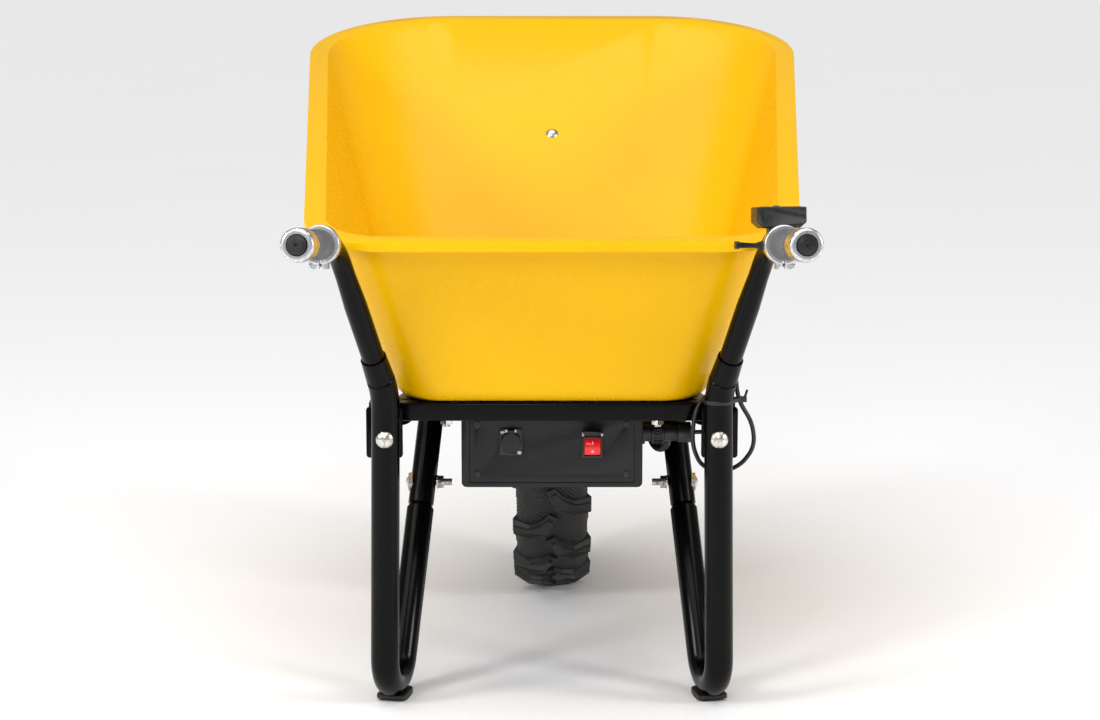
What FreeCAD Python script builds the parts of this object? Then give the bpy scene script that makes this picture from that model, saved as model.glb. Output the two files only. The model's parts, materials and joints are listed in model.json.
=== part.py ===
import FreeCAD, Part
import math
import os
from FreeCAD import Vector

# Power wheelbarrow: a deep tub on a bent tube frame, driven by a motor in its front wheel.
# Millimetres. The origin is on the floor, under the middle of the overall box.
# +X is the driver's right, +Y is the way it travels and +Z is up.

# ---------------------------------------------------------------- driving dimensions
TUBE_R = 16.0            # legs and rails
TUBE_WALL = 2.0
BAR_R = 11.1             # handle bars, the common 22.2 mm bar
BAR_WALL = 1.5
HANDLE_R = 12.7          # the handle's lower run, before it narrows to the bar
HANDLE_WIDE = 75.0       # how far past the leg's mouth that run goes
HANDLE_TAPER = 40.0
HANDLE_IN_LEG = 30.0
RUN_GAP = 0.05           # radial clearance of a running fit
SKIN_GAP = 0.3           # between faces of different moving bodies

# tub
TUB_WALL = 3.0
TUB_FLOOR_Z = 348.0      # underside of the floor
FLOOR_REAR_Y = -243.0
FLOOR_FRONT_Y = 100.0
FLOOR_REAR_HALF = 172.0
FLOOR_FRONT_HALF = 186.0
FLOOR_REAR_CORNER = 58.0
FLOOR_FRONT_CORNER = 90.0
FLOOR_EDGE_R = 30.0
RIM_REAR_Y = -340.0
RIM_FRONT_Y = 580.0
RIM_REAR_Z = 540.0
RIM_FRONT_Z = 755.0
RIM_REAR_HALF = 267.0
RIM_FRONT_HALF = 340.0
RIM_REAR_CORNER = 90.0
RIM_FRONT_CORNER = 185.0
RIM_FLANGE = 24.0
RIM_LIP = 9.0
TUB_BOLT_Z = 603.7       # bolt in the middle of the front wall

# legs, measured on the right-hand side
LEG_Y = -258.0
LEG_FOOT_X = 190.0
LEG_KNEE = Vector(185.5, LEG_Y, 362.0)
LEG_MOUTH_PART = 0.25    # how far up from the knee to the bar's bend the leg's mouth is
LEG_KNEE_R = 70.0
LEG_MOUTH_R = 14.6
FOOT_PAD = 3.0
PAD_LENGTH = 44.0
PAD_WIDTH = 34.0
PAD_HEIGHT = 17.0
PAD_CORNER_R = 7.0
PAD_CUP_Z = 7.0
PAD_WORN = 0.4           # how much the pad is worn flat where it stands
FOOT_BEND_R = 40.0
FOOT_FLAT = 4.0
LEG_TURN_IN = math.radians(12.0)     # the leg's loop is toed in
LEG_LEAN = math.radians(28.0)        # its front branch leans forward
LEG_TOP_Z = 200.0
SLEEVE_R = 15.0
SPIGOT_R = 12.8
SPIGOT_LENGTH = 44.0

# handles and grips, right-hand side
BAR_BEND = Vector(231.0, -361.0, 542.0)
BAR_END = Vector(250.0, -576.0, 567.0)
LEG_MOUTH = LEG_KNEE + (BAR_BEND - LEG_KNEE) * LEG_MOUTH_PART
BAR_BEND_R = 60.0
GRIP_CAP_LENGTH = 30.0
GRIP_RING_AT = 125.0     # from the bar's end
GRIP_RING_LENGTH = 12.0
GRIP_RING_R = 20.8
GRIP_SLEEVE_R = 15.5
GRIP_CAP_R = 17.2

# frame
CROSSBAR_HALF = 206.0
CROSSBAR_REAR_Y = -237.0
CROSSBAR_DEPTH = 40.0
CROSSBAR_HEIGHT = 21.0
PLATE_T = 5.0
RAIL_Z = 331.0

# wheel
AXLE_Y = 325.0
AXLE_Z = 200.0
TYRE_R = 200.0
TYRE_HALF = 51.0
RIM_R = 101.0            # bead seat of an 8 inch rim
AXLE_R = 6.0
LUG_COUNT = 16           # on each side

# battery box
BOX_HALF = 104.0
BOX_REAR_Y = -185.0
BOX_FRONT_Y = 45.0
BOX_LOW_Z = 240.0
BOX_TOP_Z = 327.0
BOX_SHEET = 2.0

X_AXIS = Vector(1, 0, 0)
Y_AXIS = Vector(0, 1, 0)
Z_AXIS = Vector(0, 0, 1)


# ---------------------------------------------------------------- shape helpers
def unit(v):
    return v * (1.0 / v.Length)


def cylinder(start, direction, length, radius):
    return Part.makeCylinder(radius, length, start, unit(direction))


def hollow(start, direction, length, outer, inner):
    return cylinder(start, direction, length, outer).cut(cylinder(start, direction, length, inner))


def block(x0, x1, y0, y1, z0, z1):
    return Part.makeBox(x1 - x0, y1 - y0, z1 - z0, Vector(x0, y0, z0))


def rounded_block(x0, x1, y0, y1, z0, z1, radius, along):
    """A block whose four edges along one axis are rounded."""
    shape = block(x0, x1, y0, y1, z0, z1)
    edges = [e for e in shape.Edges if unit(e.Vertexes[1].Point - e.Vertexes[0].Point).cross(along).Length < 0.01]
    return shape.makeFillet(radius, edges)


def fused(shapes):
    if len(shapes) == 1:
        return shapes[0]
    return shapes[0].multiFuse(shapes[1:]).removeSplitter()


def mirrored(shape):
    """The left-hand copy of a right-hand shape."""
    return shape.mirror(Vector(0, 0, 0), X_AXIS)


def both(shape):
    return Part.makeCompound([mirrored(shape), shape])


def ring_face(centre, direction, outer, inner):
    rim = Part.Wire(Part.Circle(centre, direction, outer).toShape())
    if inner <= 0:
        return Part.Face(rim)
    bore = Part.Wire(Part.Circle(centre, direction, inner).toShape())
    return Part.Face(rim).cut(Part.Face(bore)).Faces[0]


def tube(points, bends, outer, inner=0.0):
    """A round tube along straight runs joined by tangent arcs."""
    pieces = []
    start = points[0]
    for i in range(1, len(points)):
        run = unit(points[i] - start)
        if i == len(points) - 1:
            stop = points[i]
        else:
            after = unit(points[i + 1] - points[i])
            turn = run.getAngle(after)
            bend = bends[i - 1] if isinstance(bends, (list, tuple)) else bends
            stop = points[i] - run * (bend * math.tan(turn / 2))
        if (stop - start).Length > 0.01:
            face = ring_face(start, run, outer, inner)
            pieces.append(face.extrude(stop - start))
        if i < len(points) - 1:
            normal = unit(run.cross(after))
            centre = stop + unit(normal.cross(run)) * bend
            face = ring_face(stop, run, outer, inner)
            pieces.append(face.revolve(centre, normal, math.degrees(turn)))
            start = points[i] + after * (bend * math.tan(turn / 2))
    return fused(pieces)


def hexagon(centre, direction, across_flats, length, turn=0.0):
    """A hexagonal prism that starts at centre."""
    direction = unit(direction)
    side = X_AXIS if abs(direction.x) < 0.9 else Y_AXIS
    u = unit(direction.cross(side))
    v = direction.cross(u)
    r = across_flats / math.sqrt(3)
    corners = []
    for k in range(7):
        a = math.radians(60 * k) + turn
        corners.append(centre + u * (r * math.cos(a)) + v * (r * math.sin(a)))
    return Part.Face(Part.makePolygon(corners)).extrude(direction * length)


def nut(centre, direction, across_flats, length, bore):
    """A hexagon nut on a washer."""
    washer_r = across_flats * 0.62
    washer = hollow(centre, direction, 1.6, washer_r, bore)
    seat = centre + unit(direction) * 1.6
    body = hexagon(seat, direction, across_flats, length).cut(cylinder(seat, direction, length, bore))
    return washer.fuse(body).removeSplitter()


def carriage_bolt(seat, outward, head_r, head_h, shank_r, length):
    """A domed head that sits on seat and a shank that runs the other way."""
    outward = unit(outward)
    dome_r = (head_r ** 2 + head_h ** 2) / (2 * head_h)
    ball = Part.makeSphere(dome_r, seat + outward * (head_h - dome_r))
    head = ball.common(cylinder(seat, outward, head_h + 1, head_r + 1))
    return head.fuse(cylinder(seat, outward * -1, length, shank_r)).removeSplitter()


def closed_outline(corners, radii):
    """A closed wire through corners, each one rounded by a tangent arc."""
    edges = []
    count = len(corners)
    joins = []
    for i in range(count):
        before = unit(corners[i] - corners[i - 1])
        after = unit(corners[(i + 1) % count] - corners[i])
        turn = before.getAngle(after)
        reach = radii[i] * math.tan(turn / 2)
        first = corners[i] - before * reach
        last = corners[i] + after * reach
        inward = unit(after - before)
        middle = corners[i] + inward * (radii[i] / math.cos(turn / 2) - radii[i])
        joins.append((first, middle, last))
    for i in range(count):
        first, middle, last = joins[i]
        edges.append(Part.LineSegment(joins[i - 1][2], first).toShape())
        edges.append(Part.Arc(first, middle, last).toShape())
    return Part.Wire(edges)


# ---------------------------------------------------------------- tub
RIM_SLOPE = (RIM_FRONT_Z - RIM_REAR_Z) / (RIM_FRONT_Y - RIM_REAR_Y)


def trapezoid(rear_y, front_y, rear_half, front_half, corner_rear, corner_front, grow, height):
    """A rounded trapezoid, grown outwards by grow, at the height that height(y) gives."""
    taper = (front_half - rear_half) / (front_y - rear_y)
    spread = grow * math.sqrt(1 + taper ** 2)
    y0, y1 = rear_y - grow, front_y + grow
    x0 = rear_half - grow * taper + spread
    x1 = front_half + grow * taper + spread
    flat = [(x0, y0), (x1, y1), (-x1, y1), (-x0, y0)]
    radii = [corner_rear + grow, corner_front + grow, corner_front + grow, corner_rear + grow]
    return closed_outline([Vector(x, y, height(y)) for x, y in flat], radii)


def floor_outline(grow, z):
    return trapezoid(FLOOR_REAR_Y, FLOOR_FRONT_Y, FLOOR_REAR_HALF, FLOOR_FRONT_HALF,
                     FLOOR_REAR_CORNER, FLOOR_FRONT_CORNER, grow, lambda y: z)


def rim_outline(grow, drop=0.0):
    return trapezoid(RIM_REAR_Y, RIM_FRONT_Y, RIM_REAR_HALF, RIM_FRONT_HALF, RIM_REAR_CORNER, RIM_FRONT_CORNER,
                     grow, lambda y: RIM_REAR_Z - drop + (y - RIM_REAR_Y) * RIM_SLOPE)


def tub_body(grow_floor, grow_rim, z, edge_r):
    body = Part.makeLoft([floor_outline(grow_floor, z), rim_outline(grow_rim)], True, True)
    low = [e for e in body.Edges if e.BoundBox.ZMax < z + 0.1]
    return body.makeFillet(edge_r, low)


def tub():
    outer = tub_body(0.0, -RIM_FLANGE + TUB_WALL, TUB_FLOOR_Z, FLOOR_EDGE_R)
    inner = tub_body(-TUB_WALL, -RIM_FLANGE, TUB_FLOOR_Z + TUB_WALL, FLOOR_EDGE_R - TUB_WALL)
    inner = inner.fuse(Part.Face(rim_outline(-RIM_FLANGE)).extrude(Z_AXIS * 20))
    down = Vector(0, 0, -TUB_WALL)
    plate = Part.Face(rim_outline(0.0)).extrude(down)
    lip = Part.Face(rim_outline(0.0)).extrude(Vector(0, 0, -RIM_LIP))
    lip = lip.cut(Part.Face(rim_outline(-TUB_WALL, -1)).extrude(Vector(0, 0, -RIM_LIP - 5)))
    shell = outer.fuse(plate).fuse(lip).cut(inner)
    for x, y in floor_bolt_places():
        shell = shell.cut(cylinder(Vector(x, y, TUB_FLOOR_Z - 1), Z_AXIS, 10, 4.2))
    shell = shell.cut(cylinder(front_bolt_seat() - WALL_OUT * 20, WALL_OUT, 60, 4.2))
    return shell.removeSplitter()


WALL_TOP_Z = RIM_FRONT_Z - RIM_FLANGE * RIM_SLOPE
WALL_ANGLE = math.atan2(WALL_TOP_Z - TUB_FLOOR_Z - TUB_WALL, RIM_FRONT_Y - RIM_FLANGE - FLOOR_FRONT_Y + TUB_WALL)
WALL_OUT = Vector(0, math.sin(WALL_ANGLE), -math.cos(WALL_ANGLE))
BRACE_GAP = 0.15


def front_bolt_seat():
    """The point of the front wall's inner face where the brace is bolted."""
    face_y = FLOOR_FRONT_Y - TUB_WALL + (TUB_BOLT_Z - TUB_FLOOR_Z - TUB_WALL) / math.tan(WALL_ANGLE)
    return Vector(0, face_y, TUB_BOLT_Z)


def wall_at_bolt():
    """How thick the front wall is along the bolt that goes through it."""
    foot = Vector(0, FLOOR_FRONT_Y, TUB_FLOOR_Z)
    head = Vector(0, RIM_FRONT_Y - RIM_FLANGE + TUB_WALL, WALL_TOP_Z + TUB_WALL * RIM_SLOPE)
    out = X_AXIS.cross(head - foot) * -1
    return (foot - front_bolt_seat()).dot(out) / WALL_OUT.dot(out)


def floor_bolt_places():
    return [(-120, CROSSBAR_REAR_Y + 28), (120, CROSSBAR_REAR_Y + 28), (-70, 70), (70, 70)]


def tub_front_bolt():
    seat = front_bolt_seat()
    bolt = carriage_bolt(seat, WALL_OUT * -1, 8.6, 4.4, 4.0, 44)
    tail = seat + WALL_OUT * (wall_at_bolt() + BRACE_GAP + 2 * BRACE_R + 0.4)
    return [bolt, nut(tail, WALL_OUT, 13, 6.5, 4.0)]


def tub_bolts():
    """Carriage bolts: one through the front wall and the brace, four through the floor."""
    solids = tub_front_bolt()
    for x, y in floor_bolt_places():
        seat = Vector(x, y, TUB_FLOOR_Z + TUB_WALL)
        solids.append(carriage_bolt(seat, Z_AXIS, 8.6, 4.0, 4.0, TUB_WALL + CROSSBAR_HEIGHT + 11))
        low = Vector(x, y, TUB_FLOOR_Z - CROSSBAR_HEIGHT)
        solids.append(nut(low, Z_AXIS * -1, 13, 6.5, 4.0))
    return Part.makeCompound(solids)


# ---------------------------------------------------------------- frame
RAIL_REAR = Vector(172, CROSSBAR_REAR_Y + CROSSBAR_DEPTH, RAIL_Z)
RAIL_POINTS = [RAIL_REAR, Vector(134, 15, RAIL_Z), Vector(98, 150, RAIL_Z), Vector(86, 298, 228)]
PLATE_X = 66.0           # inner face of an axle plate
AXLE_PLATE_T = 4.0
BRACE_R = 10.0


def leg_front_top():
    """Top of the leg's front branch, where it plugs into the frame's sleeve."""
    along = FOOT_BEND_R + FOOT_BEND_R * math.tan((math.pi / 2 - LEG_LEAN) / 2) + FOOT_FLAT
    heel = Vector(LEG_FOOT_X, LEG_Y, FOOT_PAD + TUBE_R)
    toe = heel + Vector(-along * math.sin(LEG_TURN_IN), along * math.cos(LEG_TURN_IN), 0)
    rise = LEG_TOP_Z - toe.z
    lean = Vector(-math.sin(LEG_TURN_IN), math.cos(LEG_TURN_IN), 0) * math.tan(LEG_LEAN) + Z_AXIS
    return heel, toe, toe + lean * rise, unit(lean)


def crossbar():
    bar = rounded_block(-CROSSBAR_HALF, CROSSBAR_HALF, CROSSBAR_REAR_Y, CROSSBAR_REAR_Y + CROSSBAR_DEPTH,
                        TUB_FLOOR_Z - CROSSBAR_HEIGHT, TUB_FLOOR_Z, 3, X_AXIS)
    for x, y in floor_bolt_places()[:2]:
        bar = bar.cut(cylinder(Vector(x, y, 300), Z_AXIS, 60, 4.2))
    return bar


def front_crossmember():
    y = floor_bolt_places()[2][1]
    bar = block(-100, 100, y - 12, y + 12, TUB_FLOOR_Z - CROSSBAR_HEIGHT, TUB_FLOOR_Z)
    for x, y in floor_bolt_places()[2:]:
        bar = bar.cut(cylinder(Vector(x, y, 300), Z_AXIS, 60, 4.2))
    rail = tube(RAIL_POINTS, [90, 90], TUBE_R)
    return bar.cut(rail).cut(mirrored(rail))


def leg_plate():
    plate = rounded_block(168, 209, CROSSBAR_REAR_Y - PLATE_T, CROSSBAR_REAR_Y, 286, 344, 4, Y_AXIS)
    return plate.cut(cylinder(Vector(leg_bolt_x(), -300, LEG_BOLT_Z), Y_AXIS, 100, 5.2))


def rail():
    body = tube(RAIL_POINTS, [90, 90], TUBE_R, TUBE_R - TUBE_WALL)
    return body.cut(block(100, 206, CROSSBAR_REAR_Y, RAIL_REAR.y, 300, 360))


def leg_sleeve():
    _, _, top, lean = leg_front_top()
    body = hollow(top + lean * 0.8, lean, 160, SLEEVE_R, SPIGOT_R + 0.1)
    body = body.cut(tube(RAIL_POINTS, [90, 90], TUBE_R)).Solids
    body = min(body, key=lambda s: s.CenterOfMass.z)
    seat = sleeve_bolt_at()
    return body.cut(cylinder(seat + X_AXIS * -40, X_AXIS, 80, 4.2))


def sleeve_bolt_at():
    _, _, top, lean = leg_front_top()
    return top + lean * 28.0


def axle_plate():
    """The plate that carries the axle at the front end of a rail, with the brace's foot on it."""
    low, high = AXLE_Z - 26.0, 262.0
    outline = [(284, 214), (284, high), (360, high), (360, 214), (346, low), (304, low)]
    corners = [Vector(PLATE_X, y, z) for y, z in outline]
    face = Part.Face(Part.makePolygon(corners + corners[:1]))
    plate = face.extrude(X_AXIS * AXLE_PLATE_T)
    return plate.cut(cylinder(Vector(0, AXLE_Y, AXLE_Z), X_AXIS, 100, AXLE_R + 0.05))


def front_brace():
    """The hoop that carries the front of the tub, over the wheel."""
    x = PLATE_X + AXLE_PLATE_T + BRACE_R
    top = front_bolt_seat() + WALL_OUT * (wall_at_bolt() + BRACE_R + BRACE_GAP)
    foot = Vector(x, 346, 232)
    corner = Vector(x, top.y, top.z)
    points = [foot, corner, Vector(-x, top.y, top.z), Vector(-x, foot.y, foot.z)]
    hoop = tube(points, [56, 56], BRACE_R, BRACE_R - 1.5)
    return hoop.cut(cylinder(top - WALL_OUT * 30, WALL_OUT, 60, 4.2))


def leg():
    heel, toe, top, lean = leg_front_top()
    mouth_dir = unit(LEG_MOUTH - LEG_KNEE)
    turn = (LEG_KNEE - heel).getAngle(mouth_dir)
    neck = LEG_KNEE + mouth_dir * (LEG_KNEE_R * math.tan(turn / 2))
    neck_length = (LEG_MOUTH - neck).Length
    bore = TUBE_R - TUBE_WALL
    body = tube([top, toe, heel, LEG_KNEE, neck + mouth_dir * 0.5],
                [FOOT_BEND_R, FOOT_BEND_R, LEG_KNEE_R], TUBE_R, bore)
    cone = Part.makeCone(TUBE_R, LEG_MOUTH_R, neck_length, neck, mouth_dir)
    cone = cone.cut(cylinder(neck - mouth_dir, mouth_dir, neck_length + 2, HANDLE_R + RUN_GAP))
    spigot = hollow(top - lean * 10, lean, SPIGOT_LENGTH + 10, SPIGOT_R, SPIGOT_R - TUBE_WALL)
    collar = hollow(top - lean * 8, lean, 8, TUBE_R - 0.5, SPIGOT_R - TUBE_WALL)
    body = body.fuse(cone).fuse(collar).fuse(spigot)
    shoulder = Part.makeCone(TUBE_R, SPIGOT_R, 5, top - lean * 5, lean)
    ring = cylinder(top - lean * 5, lean, 5.2, TUBE_R + 2).cut(shoulder).cut(cylinder(top - lean * 6, lean, 9, SPIGOT_R))
    body = body.cut(ring)
    body = body.cut(cylinder(Vector(leg_bolt_x(), -300, LEG_BOLT_Z), Y_AXIS, 100, 5.2))
    body = body.cut(cylinder(sleeve_bolt_at() + X_AXIS * -40, X_AXIS, 80, 4.2))
    return body.removeSplitter()


LEG_BOLT_Z = 313.0


def leg_bolt_x():
    return LEG_FOOT_X + (LEG_KNEE.x - LEG_FOOT_X) * LEG_BOLT_Z / LEG_KNEE.z


def leg_bolt():
    seat = Vector(leg_bolt_x(), LEG_Y - TUBE_R, LEG_BOLT_Z)
    reach = CROSSBAR_REAR_Y - seat.y
    bolt = carriage_bolt(seat, Y_AXIS * -1, 10.0, 5.0, 5.0, reach + 14)
    return Part.makeCompound([bolt, nut(Vector(seat.x, CROSSBAR_REAR_Y, seat.z), Y_AXIS, 16, 8, 5.0)])


def sleeve_bolt():
    """Bolt across the sleeve: its head on the outside, washer, nut and thread on the inside."""
    at = sleeve_bolt_at()
    head = at + X_AXIS * (SLEEVE_R + 2.4)
    bolt = carriage_bolt(head, X_AXIS, 7.5, 3.4, 4.0, 2 * SLEEVE_R + 2.4 + 19)
    return Part.makeCompound([bolt, saddle_washer(), nut(at - X_AXIS * (SLEEVE_R + 1.0), X_AXIS * -1, 13, 6.5, 4.0)])


def saddle_washer():
    """The oval shim between the round sleeve and the bolt's head."""
    _, _, _, lean = leg_front_top()
    at = sleeve_bolt_at()
    body = hollow(at + X_AXIS * (SLEEVE_R - 2.5), X_AXIS, 4.9, 11.0, 4.2)
    return body.cut(cylinder(at - lean * 60, lean, 120, SLEEVE_R))


def foot_pad():
    """A curved wear pad under the leg's bend, worn to a small flat where it stands."""
    heel, toe, top, lean = leg_front_top()
    flat = unit(toe - heel)
    across = flat.cross(Z_AXIS)
    middle = heel + flat * (FOOT_BEND_R + FOOT_FLAT / 2)
    pad = Part.makeBox(PAD_LENGTH, PAD_WIDTH, PAD_HEIGHT)
    pad.translate(Vector(-PAD_LENGTH / 2, -PAD_WIDTH / 2, 0))
    pad = pad.makeFillet(PAD_CORNER_R, [e for e in pad.Edges if e.BoundBox.ZLength > PAD_HEIGHT - 0.1])
    pad.rotate(Vector(0, 0, 0), Z_AXIS, math.degrees(math.atan2(flat.y, flat.x)))
    pad.translate(Vector(middle.x, middle.y, 0))
    bend_r = FOOT_BEND_R + TUBE_R
    start = Vector(middle.x, middle.y, bend_r + FOOT_PAD) - across * PAD_LENGTH
    around_tube = cylinder(start, across, 2 * PAD_LENGTH, bend_r + FOOT_PAD + PAD_WORN)
    curved = around_tube.cut(cylinder(start, across, 2 * PAD_LENGTH, bend_r))
    cupped = pad.common(around_tube).common(block(-400, 400, -400, 400, 0, PAD_CUP_Z))
    leg_tube = tube([top, toe, heel, LEG_KNEE], [FOOT_BEND_R, FOOT_BEND_R], TUBE_R)
    return pad.common(curved.fuse(cupped)).cut(leg_tube)


# ---------------------------------------------------------------- handles and grips
def bar_dir():
    """From the bend to the bar's end."""
    return unit(BAR_END - BAR_BEND)


def on_bar(distance):
    """The point of the bar's axis at a distance from its end."""
    return BAR_END - bar_dir() * distance


def along_bar(start, length, outer, inner=0.0):
    """A round piece on the bar, from start to start + length, measured from the bar's end."""
    forward = bar_dir() * -1
    if inner > 0:
        return hollow(on_bar(start), forward, length, outer, inner)
    return cylinder(on_bar(start), forward, length, outer)


def handle():
    mouth_dir = unit(LEG_MOUTH - LEG_KNEE)
    foot = LEG_MOUTH - mouth_dir * HANDLE_IN_LEG
    wide_end = LEG_MOUTH + mouth_dir * HANDLE_WIDE
    bar = tube([wide_end, BAR_BEND, BAR_END], [BAR_BEND_R], BAR_R, BAR_R - BAR_WALL)
    bore = BAR_R - BAR_WALL
    lower = hollow(foot, mouth_dir, HANDLE_IN_LEG + HANDLE_WIDE, HANDLE_R, bore)
    taper = Part.makeCone(HANDLE_R, BAR_R, HANDLE_TAPER, wide_end, mouth_dir)
    taper = taper.cut(cylinder(wide_end, mouth_dir, HANDLE_TAPER, bore))
    return bar.fuse([lower, taper]).removeSplitter()


def grip_sleeve():
    """Rubber sleeve with shallow rings round it."""
    body = along_bar(GRIP_CAP_LENGTH, GRIP_RING_AT - GRIP_CAP_LENGTH, GRIP_SLEEVE_R, BAR_R)
    pitch = 4.0
    count = int((GRIP_RING_AT - GRIP_CAP_LENGTH) / pitch) - 1
    grooves = [along_bar(GRIP_CAP_LENGTH + pitch * (k + 0.9), 1.6, GRIP_SLEEVE_R + 1, GRIP_SLEEVE_R - 0.8)
               for k in range(count)]
    return body.cut(Part.makeCompound(grooves))


def grip_ring():
    flange = along_bar(GRIP_RING_AT, GRIP_RING_LENGTH, GRIP_RING_R, BAR_R)
    edges = [e for e in flange.Edges if isinstance(e.Curve, Part.Circle) and e.Curve.Radius > GRIP_RING_R - 0.1]
    flange = flange.makeFillet(2.0, edges)
    low = on_bar(GRIP_RING_AT + GRIP_RING_LENGTH / 2) - Z_AXIS * (GRIP_RING_R - 4)
    boss = rounded_block(-9, 9, -GRIP_RING_LENGTH / 2 + 1, GRIP_RING_LENGTH / 2 - 1, -8, 4, 2, Z_AXIS)
    boss.translate(low)
    boss = boss.cut(along_bar(GRIP_RING_AT - 5, 30, GRIP_RING_R - 2))
    slot = block(-1, 1, -30, 30, -20, 5)
    slot.translate(low - Z_AXIS * 1)
    bolt_way = cylinder(low - X_AXIS * 20 - Z_AXIS * 4.3, X_AXIS, 40, 1.7)
    ring = flange.fuse(boss).cut(slot.common(cylinder(low - X_AXIS * 20, X_AXIS, 40, 14))).cut(bolt_way).Solids[0]
    return Part.makeCompound([ring, ring_screw()])


def ring_screw():
    low = on_bar(GRIP_RING_AT + GRIP_RING_LENGTH / 2) - Z_AXIS * (GRIP_RING_R + 0.3)
    head = cylinder(low + X_AXIS * 9, X_AXIS, 3, 2.8).cut(hexagon(low + X_AXIS * 10.5, X_AXIS, 2.5, 3))
    return head.fuse(cylinder(low - X_AXIS * 9, X_AXIS, 18, 1.6))


def grip_cap():
    body = along_bar(0, GRIP_CAP_LENGTH, GRIP_CAP_R, BAR_R)
    edges = [e for e in body.Edges if isinstance(e.Curve, Part.Circle) and e.Curve.Radius > GRIP_CAP_R - 0.1]
    return body.makeFillet(4.0, [e for e in edges if (e.Curve.Center - BAR_END).Length < 1])


def bar_plug():
    rear = bar_dir()
    flange = cylinder(BAR_END, rear, 2.2, 10.0)
    step = cylinder(BAR_END, rear, 3.0, 7.0)
    spigot = cylinder(BAR_END, rear * -1, 14, BAR_R - BAR_WALL - 0.1)
    return flange.fuse(step).fuse(spigot).cut(hexagon(BAR_END, rear, 4, 5)).removeSplitter()


# ---------------------------------------------------------------- thumb throttle, on the right bar
LEVER_AT = GRIP_RING_AT + GRIP_RING_LENGTH + 2.0
LEVER_WIDTH = 10.0
COLLAR_AT = LEVER_AT + LEVER_WIDTH + SKIN_GAP
COLLAR_LENGTH = 17.0
COLLAR_R = 17.0
POD_LENGTH = 40.0
POD_TOP_HALF = 26.0
POD_LOW_HALF = 19.0
POD_HEIGHT = 22.0
POD_LIFT = 17.2          # underside of the pod above the bar's axis


def pod_frame():
    """Origin on the bar's axis at the lever's rear face, and the pod's forward, side and up directions."""
    forward = bar_dir() * -1
    side = unit(forward.cross(Z_AXIS))
    return on_bar(LEVER_AT), forward, side, unit(side.cross(forward))


def pod_prism(low_half, top_half, low, high, start, length):
    """A trapezoid across the bar, drawn out along it."""
    origin, forward, side, up = pod_frame()
    rear = origin + forward * start
    corners = [rear + side * -low_half + up * low, rear + side * low_half + up * low,
               rear + side * top_half + up * (low + 6), rear + side * top_half + up * high,
               rear + side * -top_half + up * high, rear + side * -top_half + up * (low + 6)]
    return Part.Face(Part.makePolygon(corners + corners[:1])).extrude(forward * length)


def throttle_housing():
    collar = along_bar(COLLAR_AT, COLLAR_LENGTH, COLLAR_R, BAR_R)
    collar = collar.cut(along_bar(COLLAR_AT - 1, 4.5, 15.2, 12.4))
    pod = pod_prism(POD_LOW_HALF, POD_TOP_HALF, POD_LIFT, POD_LIFT + POD_HEIGHT, 0, POD_LENGTH)
    pod = pod.makeFillet(1.5, pod.Edges)
    web = pod_prism(12, 12, 10, POD_LIFT + 8, LEVER_WIDTH + SKIN_GAP, COLLAR_LENGTH).cut(along_bar(0, 300, COLLAR_R - 1))
    body = collar.fuse(pod).fuse(web)
    body = body.cut(pod_prism(21.2, 21.2, POD_LIFT + POD_HEIGHT - 1.5, POD_LIFT + POD_HEIGHT + 9, 4, POD_LENGTH - 15))
    origin, forward, side, up = pod_frame()
    well = origin + forward * (POD_LENGTH - 6) + up * (POD_LIFT + POD_HEIGHT - 6)
    body = body.cut(cylinder(well, up, 10, 3.6))
    return body.removeSplitter()


def display_lens():
    origin, forward, side, up = pod_frame()
    rear = origin + forward * 4.2
    low, high = up * (POD_LIFT + POD_HEIGHT - 1.5), up * (POD_LIFT + POD_HEIGHT + 0.4)
    corners = [rear - side * 21 + low, rear + side * 21 + low, rear + side * 21 + high, rear - side * 21 + high]
    return Part.Face(Part.makePolygon(corners + corners[:1])).extrude(forward * (POD_LENGTH - 15.4))


def button_axis():
    origin, forward, side, up = pod_frame()
    return origin + forward * (POD_LENGTH - 6) + up * (POD_LIFT + POD_HEIGHT - 3.2), up


def display_button():
    base, up = button_axis()
    button = cylinder(base, up, 5.0, 3.3)
    return button.makeFillet(0.8, [e for e in button.Edges if (e.CenterOfMass - base - up * 5).Length < 0.5])


def thumb_lever():
    origin, forward, side, up = pod_frame()
    ring = along_bar(LEVER_AT, LEVER_WIDTH, 16.0, BAR_R + RUN_GAP)
    root = origin - side * 13
    corners = [root + up * 7, root - up * 7, root - side * 14 - up * 3.0, root - side * 32 - up * 3.0,
               root - side * 32 + up * 3.2, root - side * 14 + up * 1.8]
    arm = Part.Face(Part.makePolygon(corners + corners[:1])).extrude(forward * LEVER_WIDTH)
    tip = root - side * 32 - forward * 2 + up * 0.1
    pad = Part.Face(Part.makePolygon([tip - up * 4, tip + up * 4, tip + up * 4 - side * 3.5, tip - up * 4 - side * 3.5,
                                      tip - up * 4])).extrude(forward * (LEVER_WIDTH + 4))
    return ring.fuse(arm.cut(along_bar(0, 300, 15.0))).fuse(pad).removeSplitter()


def throttle_spring():
    """Return spring in the collar's groove, as a plain coil."""
    origin = on_bar(COLLAR_AT + 0.9)
    forward = bar_dir() * -1
    coils = [Part.makeTorus(13.8, 0.55, origin + forward * (1.15 * k), forward) for k in range(2)]
    return Part.makeCompound(coils)


# ---------------------------------------------------------------- battery box
PANEL_HALF = 95.0
SOCKET_X, SOCKET_Z = -47.0, 293.0
SWITCH_X, SWITCH_Z = 46.5, 287.0
PANEL_T = 1.5
PANEL_INSET = 1.0


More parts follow.
